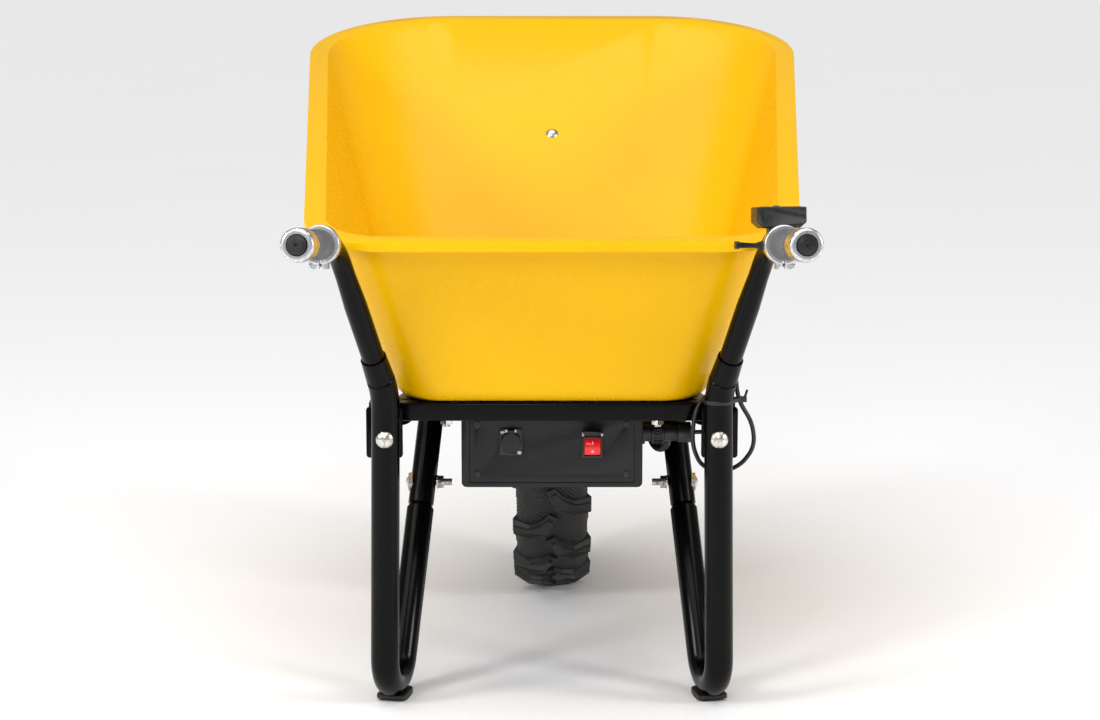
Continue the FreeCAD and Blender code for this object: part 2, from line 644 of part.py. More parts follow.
def box_body():
    shape = rounded_block(-BOX_HALF, BOX_HALF, BOX_REAR_Y, BOX_FRONT_Y, BOX_LOW_Z, BOX_TOP_Z, 6, Y_AXIS)
    inside = rounded_block(-BOX_HALF + BOX_SHEET, BOX_HALF - BOX_SHEET, BOX_REAR_Y + BOX_SHEET + 1,
                           BOX_FRONT_Y - BOX_SHEET, BOX_LOW_Z + BOX_SHEET, BOX_TOP_Z - BOX_SHEET, 4, Y_AXIS)
    window = block(-PANEL_HALF, PANEL_HALF, BOX_REAR_Y - 1, BOX_REAR_Y + 10, BOX_LOW_Z + 5, BOX_TOP_Z - 4)
    shape = shape.cut(inside).cut(window)
    shape = shape.fuse(panel_brackets().Solids)
    for centre in (GLAND_AT, COIL_GLAND_AT):
        shape = shape.cut(cylinder(centre - X_AXIS * 10, X_AXIS, 20, 6.0))
    return shape.removeSplitter()


GLAND_AT = Vector(BOX_HALF, -166.0, 301.0)
COIL_GLAND_AT = Vector(BOX_HALF, -128.0, 296.0)


def rear_panel():
    y = BOX_REAR_Y + PANEL_INSET
    gap = 0.4
    plate = block(-PANEL_HALF + gap, PANEL_HALF - gap, y, y + PANEL_T, BOX_LOW_Z + 5 + gap, BOX_TOP_Z - 4 - gap)
    plate = plate.cut(cylinder(Vector(SOCKET_X, y - 5, SOCKET_Z), Y_AXIS, 20, 12.0))
    plate = plate.cut(block(SWITCH_X - 11, SWITCH_X + 11, y - 5, y + 9, SWITCH_Z - 11.5, SWITCH_Z + 11.5))
    for centre in panel_screw_places():
        plate = plate.cut(cylinder(centre - Y_AXIS * 5, Y_AXIS, 15, 1.9))
    return plate


def panel_screw_places():
    y = BOX_REAR_Y + PANEL_INSET
    return [Vector(x, y, z) for x in (-86, 86) for z in (BOX_LOW_Z + 15, BOX_TOP_Z - 14)]


def panel_screws():
    solids = []
    for centre in panel_screw_places():
        screw = Part.makeCone(3.6, 1.9, 1.5, centre - Y_AXIS * 1.5, Y_AXIS)
        screw = screw.fuse(cylinder(centre, Y_AXIS, 8, 1.9))
        solids.append(screw.cut(hexagon(centre - Y_AXIS * 1.6, Y_AXIS, 2, 1.2)).removeSplitter())
    return Part.makeCompound(solids)


def panel_brackets():
    """Angles inside the box that the rear panel's screws hold on to."""
    solids = []
    y = BOX_REAR_Y + PANEL_INSET + PANEL_T
    for side in (-1, 1):
        low, high = BOX_LOW_Z + 8, BOX_TOP_Z - 8
        flange = block(min(80 * side, 101 * side), max(80 * side, 101 * side), y + 0.6, y + 2.6, low, high)
        web = block(min(99 * side, 102 * side), max(99 * side, 102 * side), y + 0.6, y + 9, low, high)
        angle = flange.fuse(web)
        for centre in panel_screw_places():
            angle = angle.cut(cylinder(centre - Y_AXIS, Y_AXIS, 15, 1.95))
        solids.append(angle.removeSplitter())
    return Part.makeCompound(solids)


def box_hangers():
    """Flat straps across the rails that the box is bolted up to."""
    rails = tube(RAIL_POINTS, [90, 90], TUBE_R)
    straps = hanger_bolts().Solids
    for y in (-150, 25):
        strap = block(-170, 170, y - 12, y + 12, BOX_TOP_Z, BOX_TOP_Z + 4).cut(rails).cut(mirrored(rails))
        straps.append(min(strap.Solids, key=lambda s: abs(s.CenterOfMass.x)))
    return Part.makeCompound(straps)


def hanger_bolts():
    solids = []
    for y in (-150, 25):
        for x in (-85, 85):
            top = Vector(x, y, BOX_TOP_Z + 4)
            solids.append(hexagon(top, Z_AXIS, 10, 4))
    return Part.makeCompound(solids)


def batteries():
    y = BOX_REAR_Y + 30
    return Part.makeCompound([rounded_block(x, x + 98, y, y + 150, BOX_LOW_Z + 3, BOX_LOW_Z + 68, 2, Y_AXIS)
                              for x in (-99.5, 1.5)])


def controller():
    body = rounded_block(-55, 55, -3, 38, BOX_LOW_Z + 3, BOX_LOW_Z + 70, 2, Y_AXIS)
    fins = [block(-60, 60, -4, 28, BOX_LOW_Z + 10 + 8 * k, BOX_LOW_Z + 13.5 + 8 * k) for k in range(7)]
    slots = Part.makeCompound([f.cut(block(-50, 50, -50, 50, 0, 400)) for f in fins])
    return body.cut(slots)


def charging_socket():
    y = BOX_REAR_Y + PANEL_INSET
    flange = rounded_block(SOCKET_X - 13, SOCKET_X + 13, y - 2, y, SOCKET_Z - 15.5, SOCKET_Z + 15.5, 2.5, Y_AXIS)
    barrel = cylinder(Vector(SOCKET_X, y, SOCKET_Z), Y_AXIS, 20, 11.8)
    body = flange.fuse(barrel).cut(cylinder(Vector(SOCKET_X, y - 3, SOCKET_Z), Y_AXIS, 15, 9.0))
    for dx, dz in ((-9.5, 12.0), (9.5, -12.0)):
        body = body.cut(cylinder(Vector(SOCKET_X + dx, y - 5, SOCKET_Z + dz), Y_AXIS, 10, 1.6))
    for k in range(3):
        a = math.radians(90 + 120 * k)
        pin = cylinder(Vector(SOCKET_X + 4.6 * math.cos(a), y + 4, SOCKET_Z + 4.6 * math.sin(a)), Y_AXIS, 9, 1.2)
        body = body.fuse(pin)
    return body.removeSplitter()


def socket_screws():
    y = BOX_REAR_Y + PANEL_INSET - 2
    solids = []
    for dx, dz in ((-9.5, 12.0), (9.5, -12.0)):
        seat = Vector(SOCKET_X + dx, y, SOCKET_Z + dz)
        screw = carriage_bolt(seat, Y_AXIS * -1, 2.9, 1.6, 1.55, 2.0)
        solids.append(screw.cut(block(seat.x - 3, seat.x + 3, y - 3, y - 0.9, seat.z - 0.4, seat.z + 0.4)))
    return Part.makeCompound(solids)


CAP_HINGE = Vector(SOCKET_X, BOX_REAR_Y + PANEL_INSET - 4.2, SOCKET_Z + 13.6)


def socket_cap():
    """Round dust cap with a short neck up to its hinge."""
    y = BOX_REAR_Y + PANEL_INSET - 2.0
    disc = cylinder(Vector(SOCKET_X, y - SKIN_GAP, SOCKET_Z), Y_AXIS * -1, 3.2, 11.4)
    disc = disc.makeFillet(1.0, [e for e in disc.Edges if e.CenterOfMass.y < y - 3.3])
    disc = disc.cut(cylinder(Vector(SOCKET_X + 9.5, y + 1, SOCKET_Z - 12.0), Y_AXIS * -1, 10, 3.4))
    disc = disc.cut(cylinder(Vector(SOCKET_X - 9.5, y + 1, SOCKET_Z + 12.0), Y_AXIS * -1, 10, 3.4))
    neck = block(SOCKET_X - 4, SOCKET_X + 4, y - 3.4, y - 1.4, SOCKET_Z + 9, SOCKET_Z + 13)
    knuckle = cylinder(CAP_HINGE - X_AXIS * 4, X_AXIS, 8, 1.7)
    body = disc.fuse(neck).fuse(knuckle).removeSplitter()
    return body.cut(cylinder(CAP_HINGE - X_AXIS * 8, X_AXIS, 16, 0.8 + RUN_GAP))


def cap_hinge():
    """Two ears on the flange and the pin through them."""
    pin = cylinder(CAP_HINGE - X_AXIS * 6.5, X_AXIS, 13, 0.8)
    y = BOX_REAR_Y + PANEL_INSET - 2.0
    ears = [block(SOCKET_X + x, SOCKET_X + x + 2.2, y - 3.6, y, CAP_HINGE.z - 1.5, CAP_HINGE.z + 1.5)
            for x in (-6.5, 4.3)]
    return fused([pin] + ears)


def switch_bezel():
    y = BOX_REAR_Y + PANEL_INSET
    rim = rounded_block(SWITCH_X - 12.2, SWITCH_X + 12.2, y - 2.2, y, SWITCH_Z - 12.6, SWITCH_Z + 12.6, 2, Y_AXIS)
    case = block(SWITCH_X - 10.8, SWITCH_X + 10.8, y, y + 17, SWITCH_Z - 11.3, SWITCH_Z + 11.3)
    hole = block(SWITCH_X - 9.4, SWITCH_X + 9.4, y - 5, y + 12, SWITCH_Z - 10.2, SWITCH_Z + 10.2)
    pin = cylinder(Vector(SWITCH_X - 10.5, ROCKER_Y, SWITCH_Z), X_AXIS, 21, 1.2)
    return rim.fuse(case).cut(hole).fuse(pin).removeSplitter()


ROCKER_Y = BOX_REAR_Y + PANEL_INSET + 4.0


def rocker():
    """A rocker with two faces that meet at a shallow angle, pressed at its lower end."""
    half, reach = 9.9, 7.2
    crown = 9.4
    corners = []
    for k in range(9):
        a = math.radians(-52 + 13 * k)
        corners.append(Vector(SWITCH_X - 9.1, ROCKER_Y - crown * math.cos(a), SWITCH_Z + 12.2 * math.sin(a)))
    low = min(corners, key=lambda p: p.z)
    corners = [Vector(p.x, p.y, max(min(p.z, SWITCH_Z + half), SWITCH_Z - half)) for p in corners]
    face = Part.Face(Part.makePolygon(corners + [Vector(low.x, ROCKER_Y + 3, SWITCH_Z + 5),
                                                 Vector(low.x, ROCKER_Y + 3, SWITCH_Z - 5), corners[0]]))
    body = face.extrude(X_AXIS * 18.2)
    body = body.cut(cylinder(Vector(SWITCH_X - 20, ROCKER_Y, SWITCH_Z), X_AXIS, 40, 1.2 + RUN_GAP))
    body.rotate(Vector(SWITCH_X, ROCKER_Y, SWITCH_Z), X_AXIS, -ROCKER_TILT)
    return body


ROCKER_TILT = 5.0
HINGE_PIN_R = 0.9
HOOD_EAR_ROOM = 3.4
HOOD_HINGE = Vector(SWITCH_X, BOX_REAR_Y + PANEL_INSET - 5.2, SWITCH_Z + 16.0)


def switch_hood():
    """Flip-up dust hood over the switch, standing open."""
    y = HOOD_HINGE.y
    knuckle = cylinder(HOOD_HINGE - X_AXIS * 9.5, X_AXIS, 19, 2.0)
    lid = block(SWITCH_X - 11.5, SWITCH_X + 11.5, y - 29.5, y - 1.2, HOOD_HINGE.z + 0.2, HOOD_HINGE.z + 2.0)
    lid = lid.cut(block(SWITCH_X - 20, SWITCH_X - 9.5, y - HOOD_EAR_ROOM, y + 3, 200, 400))
    lid = lid.cut(block(SWITCH_X + 9.5, SWITCH_X + 20, y - HOOD_EAR_ROOM, y + 3, 200, 400))
    body = knuckle.fuse(lid).cut(cylinder(HOOD_HINGE - X_AXIS * 20, X_AXIS, 40, HINGE_PIN_R + RUN_GAP))
    body = body.removeSplitter()
    body.rotate(HOOD_HINGE, X_AXIS, -HOOD_RISE)
    return body


HOOD_RISE = 12.0


def hood_hinge():
    """Ears on a strip above the switch, with the hood's pin through them."""
    pin = cylinder(HOOD_HINGE - X_AXIS * 12.2, X_AXIS, 24.4, HINGE_PIN_R)
    y = BOX_REAR_Y + PANEL_INSET
    ears = [block(SWITCH_X + x, SWITCH_X + x + 2.0, HOOD_HINGE.y - 2, y, HOOD_HINGE.z - 2.2, HOOD_HINGE.z + 2.2)
            for x in (-12.0, 10.0)]
    strip = block(SWITCH_X - 12.0, SWITCH_X + 12.0, y - 1.4, y, HOOD_HINGE.z - 2.2, HOOD_HINGE.z + 2.2)
    return fused([pin, strip] + ears)


# ---------------------------------------------------------------- wheel
AXLE = Vector(0, AXLE_Y, AXLE_Z)
BEAD_HALF = 34.0
SHELL_R = 86.0
SHELL_HALF = 36.0
BEARING_R = 16.0
BEARING_AT = 27.0        # inner face of a bearing
BEARING_WIDTH = 10.0
COVER_T = 6.0


def turned(profile):
    """A solid of revolution about the axle; profile is a list of (x, r) points."""
    points = [Vector(x, AXLE_Y, AXLE_Z + r) for x, r in profile]
    return Part.Face(Part.makePolygon(points + points[:1])).revolve(AXLE, X_AXIS, 360)


def carcass_profile(half, crown, bead, steps, belly):
    """One side's section from the bead up over the shoulder to the crown, mirrored to the other."""
    right = []
    for k in range(steps + 1):
        t = k / steps
        r = bead + (crown - bead) * math.sin(t * math.pi / 2) ** 0.9
        x = BEAD_HALF + (half - BEAD_HALF) * math.sin(min(1.0, t * 2) * math.pi / 2)
        if t > 0.5:
            x = half * math.cos((t - 0.5) * math.pi) ** belly
        right.append((x, r))
    return right + [(-x, r) for x, r in reversed(right[:-1])]


def tyre():
    outer = turned(carcass_profile(TYRE_HALF - 4, TYRE_R - 9, RIM_R, 14, 0.55))
    inner = turned(carcass_profile(TYRE_HALF - 10, TYRE_R - 16, RIM_R - 2, 14, 0.55))
    body = outer.cut(inner)
    lugs = []
    for side in (-1, 1):
        for k in range(LUG_COUNT):
            angle = 360.0 / LUG_COUNT * (k + (0.5 if side > 0 else 0.0))
            lugs.append(lug(side, angle))
    envelope = turned(carcass_profile(TYRE_HALF, TYRE_R, RIM_R + 24, 14, 0.42))
    return body.fuse([piece.common(envelope) for piece in lugs]).removeSplitter()


def lug(side, angle):
    """One slanted tread lug, from just past the middle out over the shoulder."""
    corners = [(-5, -8), (-3, 15), (TYRE_HALF + 2, 25), (TYRE_HALF + 2, 3)]
    base = AXLE - Z_AXIS * (TYRE_R - 30)
    points = [base + Vector(side * x, y - 8, 0) for x, y in corners]
    body = Part.Face(Part.makePolygon(points + points[:1])).extrude(Vector(0, 0, -40))
    body = body.cut(turned([(-80, 0), (80, 0), (80, TYRE_R - 46), (44, TYRE_R - 40), (38, TYRE_R - 20),
                            (-38, TYRE_R - 20), (-44, TYRE_R - 40), (-80, TYRE_R - 46)]))
    body.rotate(AXLE, X_AXIS, angle)
    return body


def rim():
    half = BEAD_HALF
    return turned([(-half - 2, SHELL_R), (half + 2, SHELL_R), (half + 3.5, RIM_R - 5), (half + 4.5, RIM_R + 8),
                   (half + 2, RIM_R + 8), (half - 0.2, RIM_R - 0.5), (-half + 0.2, RIM_R - 0.5),
                   (-half - 2, RIM_R + 8), (-half - 4.5, RIM_R + 8), (-half - 3.5, RIM_R - 5)])


def motor_shell():
    """The rotor: a steel shell with the magnets bonded inside it."""
    shell = turned([(-SHELL_HALF, SHELL_R - 5), (SHELL_HALF, SHELL_R - 5), (SHELL_HALF, SHELL_R),
                    (-SHELL_HALF, SHELL_R)])
    return Part.makeCompound([shell] + magnets().Solids)


def magnets():
    """Rotor magnets round the inside of the shell."""
    ring = turned([(-25, SHELL_R - 8), (25, SHELL_R - 8), (25, SHELL_R - 5), (-25, SHELL_R - 5)])
    gaps = []
    for k in range(20):
        gap = block(-30, 30, AXLE_Y - 1, AXLE_Y + 1, AXLE_Z + 60, AXLE_Z + 100)
        gap.rotate(AXLE, X_AXIS, 18 * k)
        gaps.append(gap)
    return ring.cut(Part.makeCompound(gaps))


def motor_cover():
    """Right-hand cover: a dished disc with ribs and a seat for its bearing."""
    seat = BEARING_AT
    body = turned([(SHELL_HALF, 60), (SHELL_HALF, SHELL_R), (SHELL_HALF + COVER_T - 2, SHELL_R),
                   (SHELL_HALF + COVER_T, SHELL_R - 4), (SHELL_HALF + COVER_T, 34), (SHELL_HALF + COVER_T + 3, 22),
                   (SHELL_HALF + COVER_T + 3, 11), (seat + BEARING_WIDTH, 11), (seat + BEARING_WIDTH, BEARING_R),
                   (seat, BEARING_R), (seat, 22), (SHELL_HALF, 30)])
    for k in range(6):
        a = math.radians(60 * k)
        hole = AXLE + Vector(20, (SHELL_R - 12) * math.cos(a), (SHELL_R - 12) * math.sin(a))
        body = body.cut(cylinder(hole, X_AXIS, 60, 2.6))
    return body


def cover_screws():
    solids = []
    for k in range(6):
        a = math.radians(60 * k)
        seat = AXLE + Vector(SHELL_HALF + COVER_T, (SHELL_R - 12) * math.cos(a), (SHELL_R - 12) * math.sin(a))
        screw = cylinder(seat, X_AXIS, 3.2, 4.2).cut(hexagon(seat + X_AXIS * 1.4, X_AXIS, 4, 3))
        solids.append(screw.fuse(cylinder(seat - X_AXIS * 8, X_AXIS, 8, 2.5)).removeSplitter())
    right = Part.makeCompound(solids)
    return Part.makeCompound(right.Solids + mirrored(right).Solids)


def bearings():
    race = hollow(AXLE + X_AXIS * BEARING_AT, X_AXIS, BEARING_WIDTH, BEARING_R, AXLE_R + RUN_GAP)
    groove = hollow(AXLE + X_AXIS * (BEARING_AT - 1), X_AXIS, 2.2, 12.6, 9.4)
    return both(race.cut(groove))


def axle():
    bar = cylinder(AXLE - X_AXIS * 92, X_AXIS, 184, AXLE_R)
    return bar


def stator():
    core = cylinder(AXLE - X_AXIS * 24, X_AXIS, 48, 76).cut(cylinder(AXLE - X_AXIS * 30, X_AXIS, 60, AXLE_R))
    slots = []
    for k in range(18):
        slot = block(-30, 30, AXLE_Y - 4, AXLE_Y + 4, AXLE_Z + 46, AXLE_Z + 72)
        slot = slot.fuse(block(-30, 30, AXLE_Y - 1.2, AXLE_Y + 1.2, AXLE_Z + 70, AXLE_Z + 80))
        slot.rotate(AXLE, X_AXIS, 20 * k)
        slots.append(slot)
    return core.cut(Part.makeCompound(slots))


def axle_spacers():
    start = SHELL_HALF + COVER_T + 3 + SKIN_GAP + 0.2
    spacer = hollow(AXLE + X_AXIS * start, X_AXIS, PLATE_X - start, 9.5, AXLE_R)
    return both(spacer)


def axle_nuts():
    return both(nut(AXLE + X_AXIS * (PLATE_X + AXLE_PLATE_T), X_AXIS, 19, 10, AXLE_R))


def valve_stem():
    start = AXLE + Vector(BEAD_HALF + 3.4, 0, RIM_R - 8)
    return cylinder(start, X_AXIS, 20, 4.0).fuse(cylinder(start + X_AXIS * 14, X_AXIS, 8, 5.0)).removeSplitter()


# ---------------------------------------------------------------- cables
def cable(points, radius):
    """A cable on straight runs with arcs as wide as its two runs allow."""
    bends = []
    for before, at, after in zip(points, points[1:], points[2:]):
        turn = (at - before).getAngle(after - at)
        shorter = min((at - before).Length, (after - at).Length)
        bends.append(0.45 * shorter / math.tan(turn / 2))
    body = tube(points, bends, radius)
    length = body.Volume / (math.pi * radius ** 2)
    print("cable length %.0f mm, bend radii %s" % (length, " ".join("%.0f" % b for b in bends)))
    return body


def throttle_cable():
    """From the throttle over the bar's bend, down the handle, one loop at the leg and in to the plug."""
    handle_dir = unit(BAR_BEND - LEG_MOUTH)
    front = unit(Y_AXIS - handle_dir * handle_dir.y)
    _, forward, _, up = pod_frame()
    lift = BAR_R + CABLE_R + 0.5
    turn = handle_dir.getAngle(bar_dir())
    start = on_bar(COLLAR_AT + COLLAR_LENGTH) + up * lift
    over = BAR_BEND + unit(up + front) * (lift / math.cos(turn / 2) + 1.0)
    rest = [Vector(*p) for p in THROTTLE_LOOP]
    points = [start, over, LEG_MOUTH + handle_dir * 22 + front * (lift + 2)] + rest
    points.append(Vector(PLUG_END, GLAND_AT.y, GLAND_AT.z))
    return cable(points, CABLE_R)


CABLE_R = 2.5
THROTTLE_LOOP = [(205, -246, 386), (208, -247, 354), (225, -246, 327), (228, -243, 299), (213, -235, 276),
                 (190, -229, 266), (168, -235, 276), (158, -245, 300), (158, -250, 326), (163, -247, 346),
                 (174, -239, 358), (188, -230, 362), (201, -192, 358), (207, -176, 334), (197, -167, 310),
                 (178, -166, 301)]
PLUG_END = BOX_HALF + 56.0


def plug_receptacle():
    at = GLAND_AT
    flange = hollow(at, X_AXIS, 3, 14.0, 5.9)
    thread = hollow(at - X_AXIS * 8, X_AXIS, 22, 5.9, 4.0)
    collar = hollow(at + X_AXIS * 3, X_AXIS, 8, 11.0, 5.9)
    return fused([flange, thread, collar])


def ribbed(start, length, outer, ribs):
    """A round nut along X with ribs round it."""
    body = hollow(start, X_AXIS, length, outer, 6.1)
    cuts = []
    for k in range(ribs):
        a = 2 * math.pi * k / ribs
        centre = start + Vector(2, (outer + 0.6) * math.cos(a), (outer + 0.6) * math.sin(a))
        cuts.append(cylinder(centre, X_AXIS, length - 4, 1.2))
    return body.cut(Part.makeCompound(cuts))


def plug_ring():
    return ribbed(GLAND_AT + X_AXIS * 11.2, 14, 13.0, 20)


def plug_body():
    at = GLAND_AT
    body = hollow(at + X_AXIS * 25.4, X_AXIS, 16, 10.5, CABLE_R + 0.1)
    stem = hollow(at + X_AXIS * 14.2, X_AXIS, 11.2, 5.8, CABLE_R + 0.1)
    return body.fuse(stem).removeSplitter()


def plug_nut():
    start = GLAND_AT + X_AXIS * 41.4
    body = hollow(start, X_AXIS, 14.6, 12.0, CABLE_R)
    flats = block(start.x, start.x + 9, start.y - 20, start.y + 20, start.z + 10.6, start.z + 20)
    return body.cut(flats)


COIL_R = 7.5
MOTOR_CABLE_R = 3.2
COIL_ROUTE = [(COIL_GLAND_AT.x + 9, -128, 296), (127, -128, 296), (135, -116, 281), (131, -92, 268),
              (124, -62, 264), (119, -34, 273), (118, -12, 289), (118, 10, 300)]
MOTOR_ROUTE = [(118, 10, 300), (118, 26, 308), (113, 68, 307), (105, 108, 305), (105, 150, 303), (112, 192, 286),
               (113, 230, 263), (116, 264, 232), (118, 298, 206), (113, 325, 200), (97, 325, 200)]


def coil_gland():
    return hollow(COIL_GLAND_AT - X_AXIS * 4, X_AXIS, 13, 5.9, 3.0).fuse(
        hexagon(COIL_GLAND_AT, X_AXIS, 16, 6).cut(cylinder(COIL_GLAND_AT, X_AXIS, 10, 5.9))).removeSplitter()


def motor_coil():
    return cable([Vector(*p) for p in COIL_ROUTE], COIL_R)


def motor_cable():
    return cable([Vector(*p) for p in MOTOR_ROUTE], MOTOR_CABLE_R)


def axle_end_cap():
    """Rubber nose where the motor's cable goes into the axle."""
    return hollow(AXLE + X_AXIS * 82, X_AXIS, 10, 8.6, AXLE_R).fuse(
        cylinder(AXLE + X_AXIS * 92, X_AXIS, 5, 8.6)).removeSplitter()


def cable_tie(held):
    """Strap round the leg and the held cable, with its head and tail."""
    z, height, strap = 352.0, 4.4, 1.3
    leg_centre = Vector(leg_x_at(z), LEG_Y, z)
    cable_centre = Vector(208.2, -247.0, z)

    def band(leg_r, cable_r):
        across = unit(cable_centre - leg_centre).cross(Z_AXIS)
        corners = [leg_centre + across * leg_r, cable_centre + across * cable_r, cable_centre - across * cable_r,
                   leg_centre - across * leg_r]
        web = Part.Face(Part.makePolygon(corners + corners[:1])).extrude(Z_AXIS * height)
        return web.fuse(cylinder(leg_centre, Z_AXIS, height, leg_r)).fuse(
            cylinder(cable_centre, Z_AXIS, height, cable_r))

    ring = band(TUBE_R + 0.4 + strap, CABLE_R + 0.6 + strap).cut(band(TUBE_R + 0.4, CABLE_R + 0.6))
    out = unit(cable_centre - leg_centre)
    head = Part.makeBox(8, 6, 6)
    head.translate(cable_centre + out * (CABLE_R + 0.7) + Vector(-1, -3, -1))
    head = head.cut(band(TUBE_R + 0.4 + strap, CABLE_R + 0.6 + strap))
    tail = tube([cable_centre + out * 9 + Z_AXIS * 4, cable_centre + out * 12 + Z_AXIS * 12], 1, 1.4)
    heel, _, _, _ = leg_front_top()
    inside = tube([heel, LEG_KNEE, LEG_MOUTH], [LEG_KNEE_R], TUBE_R + 0.1).fuse(held)
    return max(ring.fuse(head).fuse(tail).cut(inside).Solids, key=lambda s: s.Volume)


def leg_x_at(z):
    return LEG_FOOT_X + (LEG_KNEE.x - LEG_FOOT_X) * z / LEG_KNEE.z


# ---------------------------------------------------------------- nodes
def pair(name, build):
    """The right-hand piece and its mirror image, as two nodes."""
    shape = build()
    return {name + "_right": shape, name + "_left": mirrored(shape)}


def grouped(build):
    """The right-hand piece and its mirror image, in one node."""
    shape = build()
    return Part.makeCompound(mirrored(shape).Solids + shape.Solids)


def nodes():
    out = {"tub": tub(), "tub_bolts": tub_bolts()}
    out.update(rear_crossbar=crossbar(), front_crossmember=front_crossmember(), leg_plates=grouped(leg_plate))
    for name, build in (("leg", leg), ("handle", handle)):
        out.update(pair(name, build))
    out.update(rails=grouped(rail), leg_sleeves=grouped(leg_sleeve), axle_plates=grouped(axle_plate),
               front_brace=front_brace(), leg_bolts=grouped(leg_bolt), sleeve_bolts=grouped(sleeve_bolt),
               foot_pads=grouped(foot_pad))
    out.update(grip_sleeves=grouped(grip_sleeve), grip_rings=grouped(grip_ring), grip_caps=grouped(grip_cap),
               bar_plugs=grouped(bar_plug))
    out.update(throttle_housing=throttle_housing(), display_lens=display_lens(), display_button=display_button(),
               thumb_lever=thumb_lever(), throttle_spring=throttle_spring())
    out.update(box_body=box_body(), box_rear_panel=rear_panel(), panel_screws=panel_screws(),
               box_hangers=box_hangers(), batteries=batteries(), controller=controller())
    out.update(charging_socket=charging_socket(), socket_screws=socket_screws(), socket_cap=socket_cap(),
               cap_hinge=cap_hinge(), switch_bezel=switch_bezel(), switch_rocker=rocker(), switch_hood=switch_hood(),
               hood_hinge=hood_hinge())
    out.update(tyre=tyre(), wheel_rim=rim(), motor_shell=motor_shell(),
               motor_covers=grouped(motor_cover), cover_screws=cover_screws(), bearings=bearings(), axle=axle(),
               stator=stator(), axle_spacers=axle_spacers(), axle_nuts=axle_nuts(), valve_stem=valve_stem())
    held = throttle_cable()
    out.update(throttle_cable=held, cable_tie=cable_tie(held), motor_coil=motor_coil(), motor_cable=motor_cable(),
               axle_end_cap=axle_end_cap(), coil_gland=coil_gland())
    plug = [plug_receptacle(), plug_ring(), plug_body(), plug_nut()]
    out.update(plug_receptacle=plug[0], plug_ring=plug[1], plug_body=plug[2], plug_nut=plug[3])
    return out


def main():
    os.makedirs("parts", exist_ok=True)
    whole = FreeCAD.BoundBox()
    for name, shape in nodes().items():
        shape.exportStep("parts/%s.step" % name)
        whole.add(shape.optimalBoundingBox(False, False))
        if not shape.isValid():
            print("not valid:", name)
    print("box x %.2f %.2f  y %.2f %.2f  z %.2f %.2f" % (whole.XMin, whole.XMax, whole.YMin, whole.YMax,
                                                         whole.ZMin, whole.ZMax))


main()
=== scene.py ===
import json
import math

import bmesh
import bpy
from mathutils import Matrix, Vector

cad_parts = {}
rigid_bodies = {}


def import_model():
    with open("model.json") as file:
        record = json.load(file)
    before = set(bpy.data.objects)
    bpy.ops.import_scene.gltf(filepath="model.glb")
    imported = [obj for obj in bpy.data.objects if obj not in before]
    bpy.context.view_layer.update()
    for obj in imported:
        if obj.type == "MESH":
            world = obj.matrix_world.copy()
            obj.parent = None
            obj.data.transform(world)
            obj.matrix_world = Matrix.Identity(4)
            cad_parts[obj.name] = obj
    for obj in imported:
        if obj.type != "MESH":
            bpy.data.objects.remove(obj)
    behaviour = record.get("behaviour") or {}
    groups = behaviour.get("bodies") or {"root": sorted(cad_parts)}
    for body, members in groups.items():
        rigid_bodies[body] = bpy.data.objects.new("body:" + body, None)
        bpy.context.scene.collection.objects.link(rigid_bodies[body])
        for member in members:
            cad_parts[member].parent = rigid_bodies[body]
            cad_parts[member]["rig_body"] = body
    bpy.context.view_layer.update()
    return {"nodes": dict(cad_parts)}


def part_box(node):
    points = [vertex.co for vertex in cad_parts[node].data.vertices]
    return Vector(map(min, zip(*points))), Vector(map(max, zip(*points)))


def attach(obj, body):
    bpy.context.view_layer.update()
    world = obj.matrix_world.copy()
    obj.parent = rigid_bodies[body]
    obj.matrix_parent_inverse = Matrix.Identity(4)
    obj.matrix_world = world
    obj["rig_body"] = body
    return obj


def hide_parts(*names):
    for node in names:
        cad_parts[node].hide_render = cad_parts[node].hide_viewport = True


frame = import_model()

bl_info = {
    "name": "Power wheelbarrow",
    "version": (1, 0, 0),
    "blender": (4, 2, 0),
    "location": "View3D > Sidebar > Barrow",
    "description": "Builds the visible pieces of a battery barrow on its packed frame",
    "category": "Add Mesh",
}

MM = 0.001

# the right-hand handle bar, from its bend to its end
BAR_BEND = Vector((231.0, -361.0, 542.0)) * MM
BAR_END = Vector((250.0, -576.0, 567.0)) * MM
BAR_DIR = (BAR_END - BAR_BEND).normalized()
GRIP_CAP = 30.0 * MM
GRIP_RING = 125.0 * MM
AXLE = Vector((0.0, 325.0, 200.0)) * MM

# the rubber sleeve on a bar: its bore, its radius and how its two edges are eased
SLEEVE_BORE = 0.0112
SLEEVE_R = 0.0149
SLEEVE_EDGE_R = 0.0146
SLEEVE_EASED = 0.001
SLEEVE_STEPS = 64

# a bump at the foot of the end cap and a smaller one on its rim: distance from the bar's axis and size
CAP_BUMP_OUT = 0.0153
CAP_BUMP_SIZE = (0.0019, 0.0042, 0.0055)
CAP_PIP_OUT = 0.0156
CAP_PIP_R = 0.0019
CAP_PIP_IN = 0.0022

# the tyre, in millimetres
LUG_SIDE = 5.5           # how far a lug stands out from the side wall
LUG_DEPTH = 11.5         # how far it stands out from the crown
SIDE_WALL = 6
CROWN_WALL = 7
BEAD_WALL = 2
BEAD_INSET = 3
CROWN_CURVE = 0.9        # how squarely the side wall turns into the crown
BELLY = 0.55             # how flat the tread is
LUG_FOOT_R = 125         # the side wall's radius where a lug begins to follow it
LUG_FOLLOW = 2.4
KNURL_FROM_R = 150       # the diamonds lie outside this radius
KNURL_RISE = 0.22        # height and top of a diamond, as parts of its spacing and of its size
KNURL_TOP = 0.3
SECTION_STEPS = 24
OUTSIDE_PITCH = 3.5
INSIDE_PITCH = 9.0
TYRE_STEPS = 180

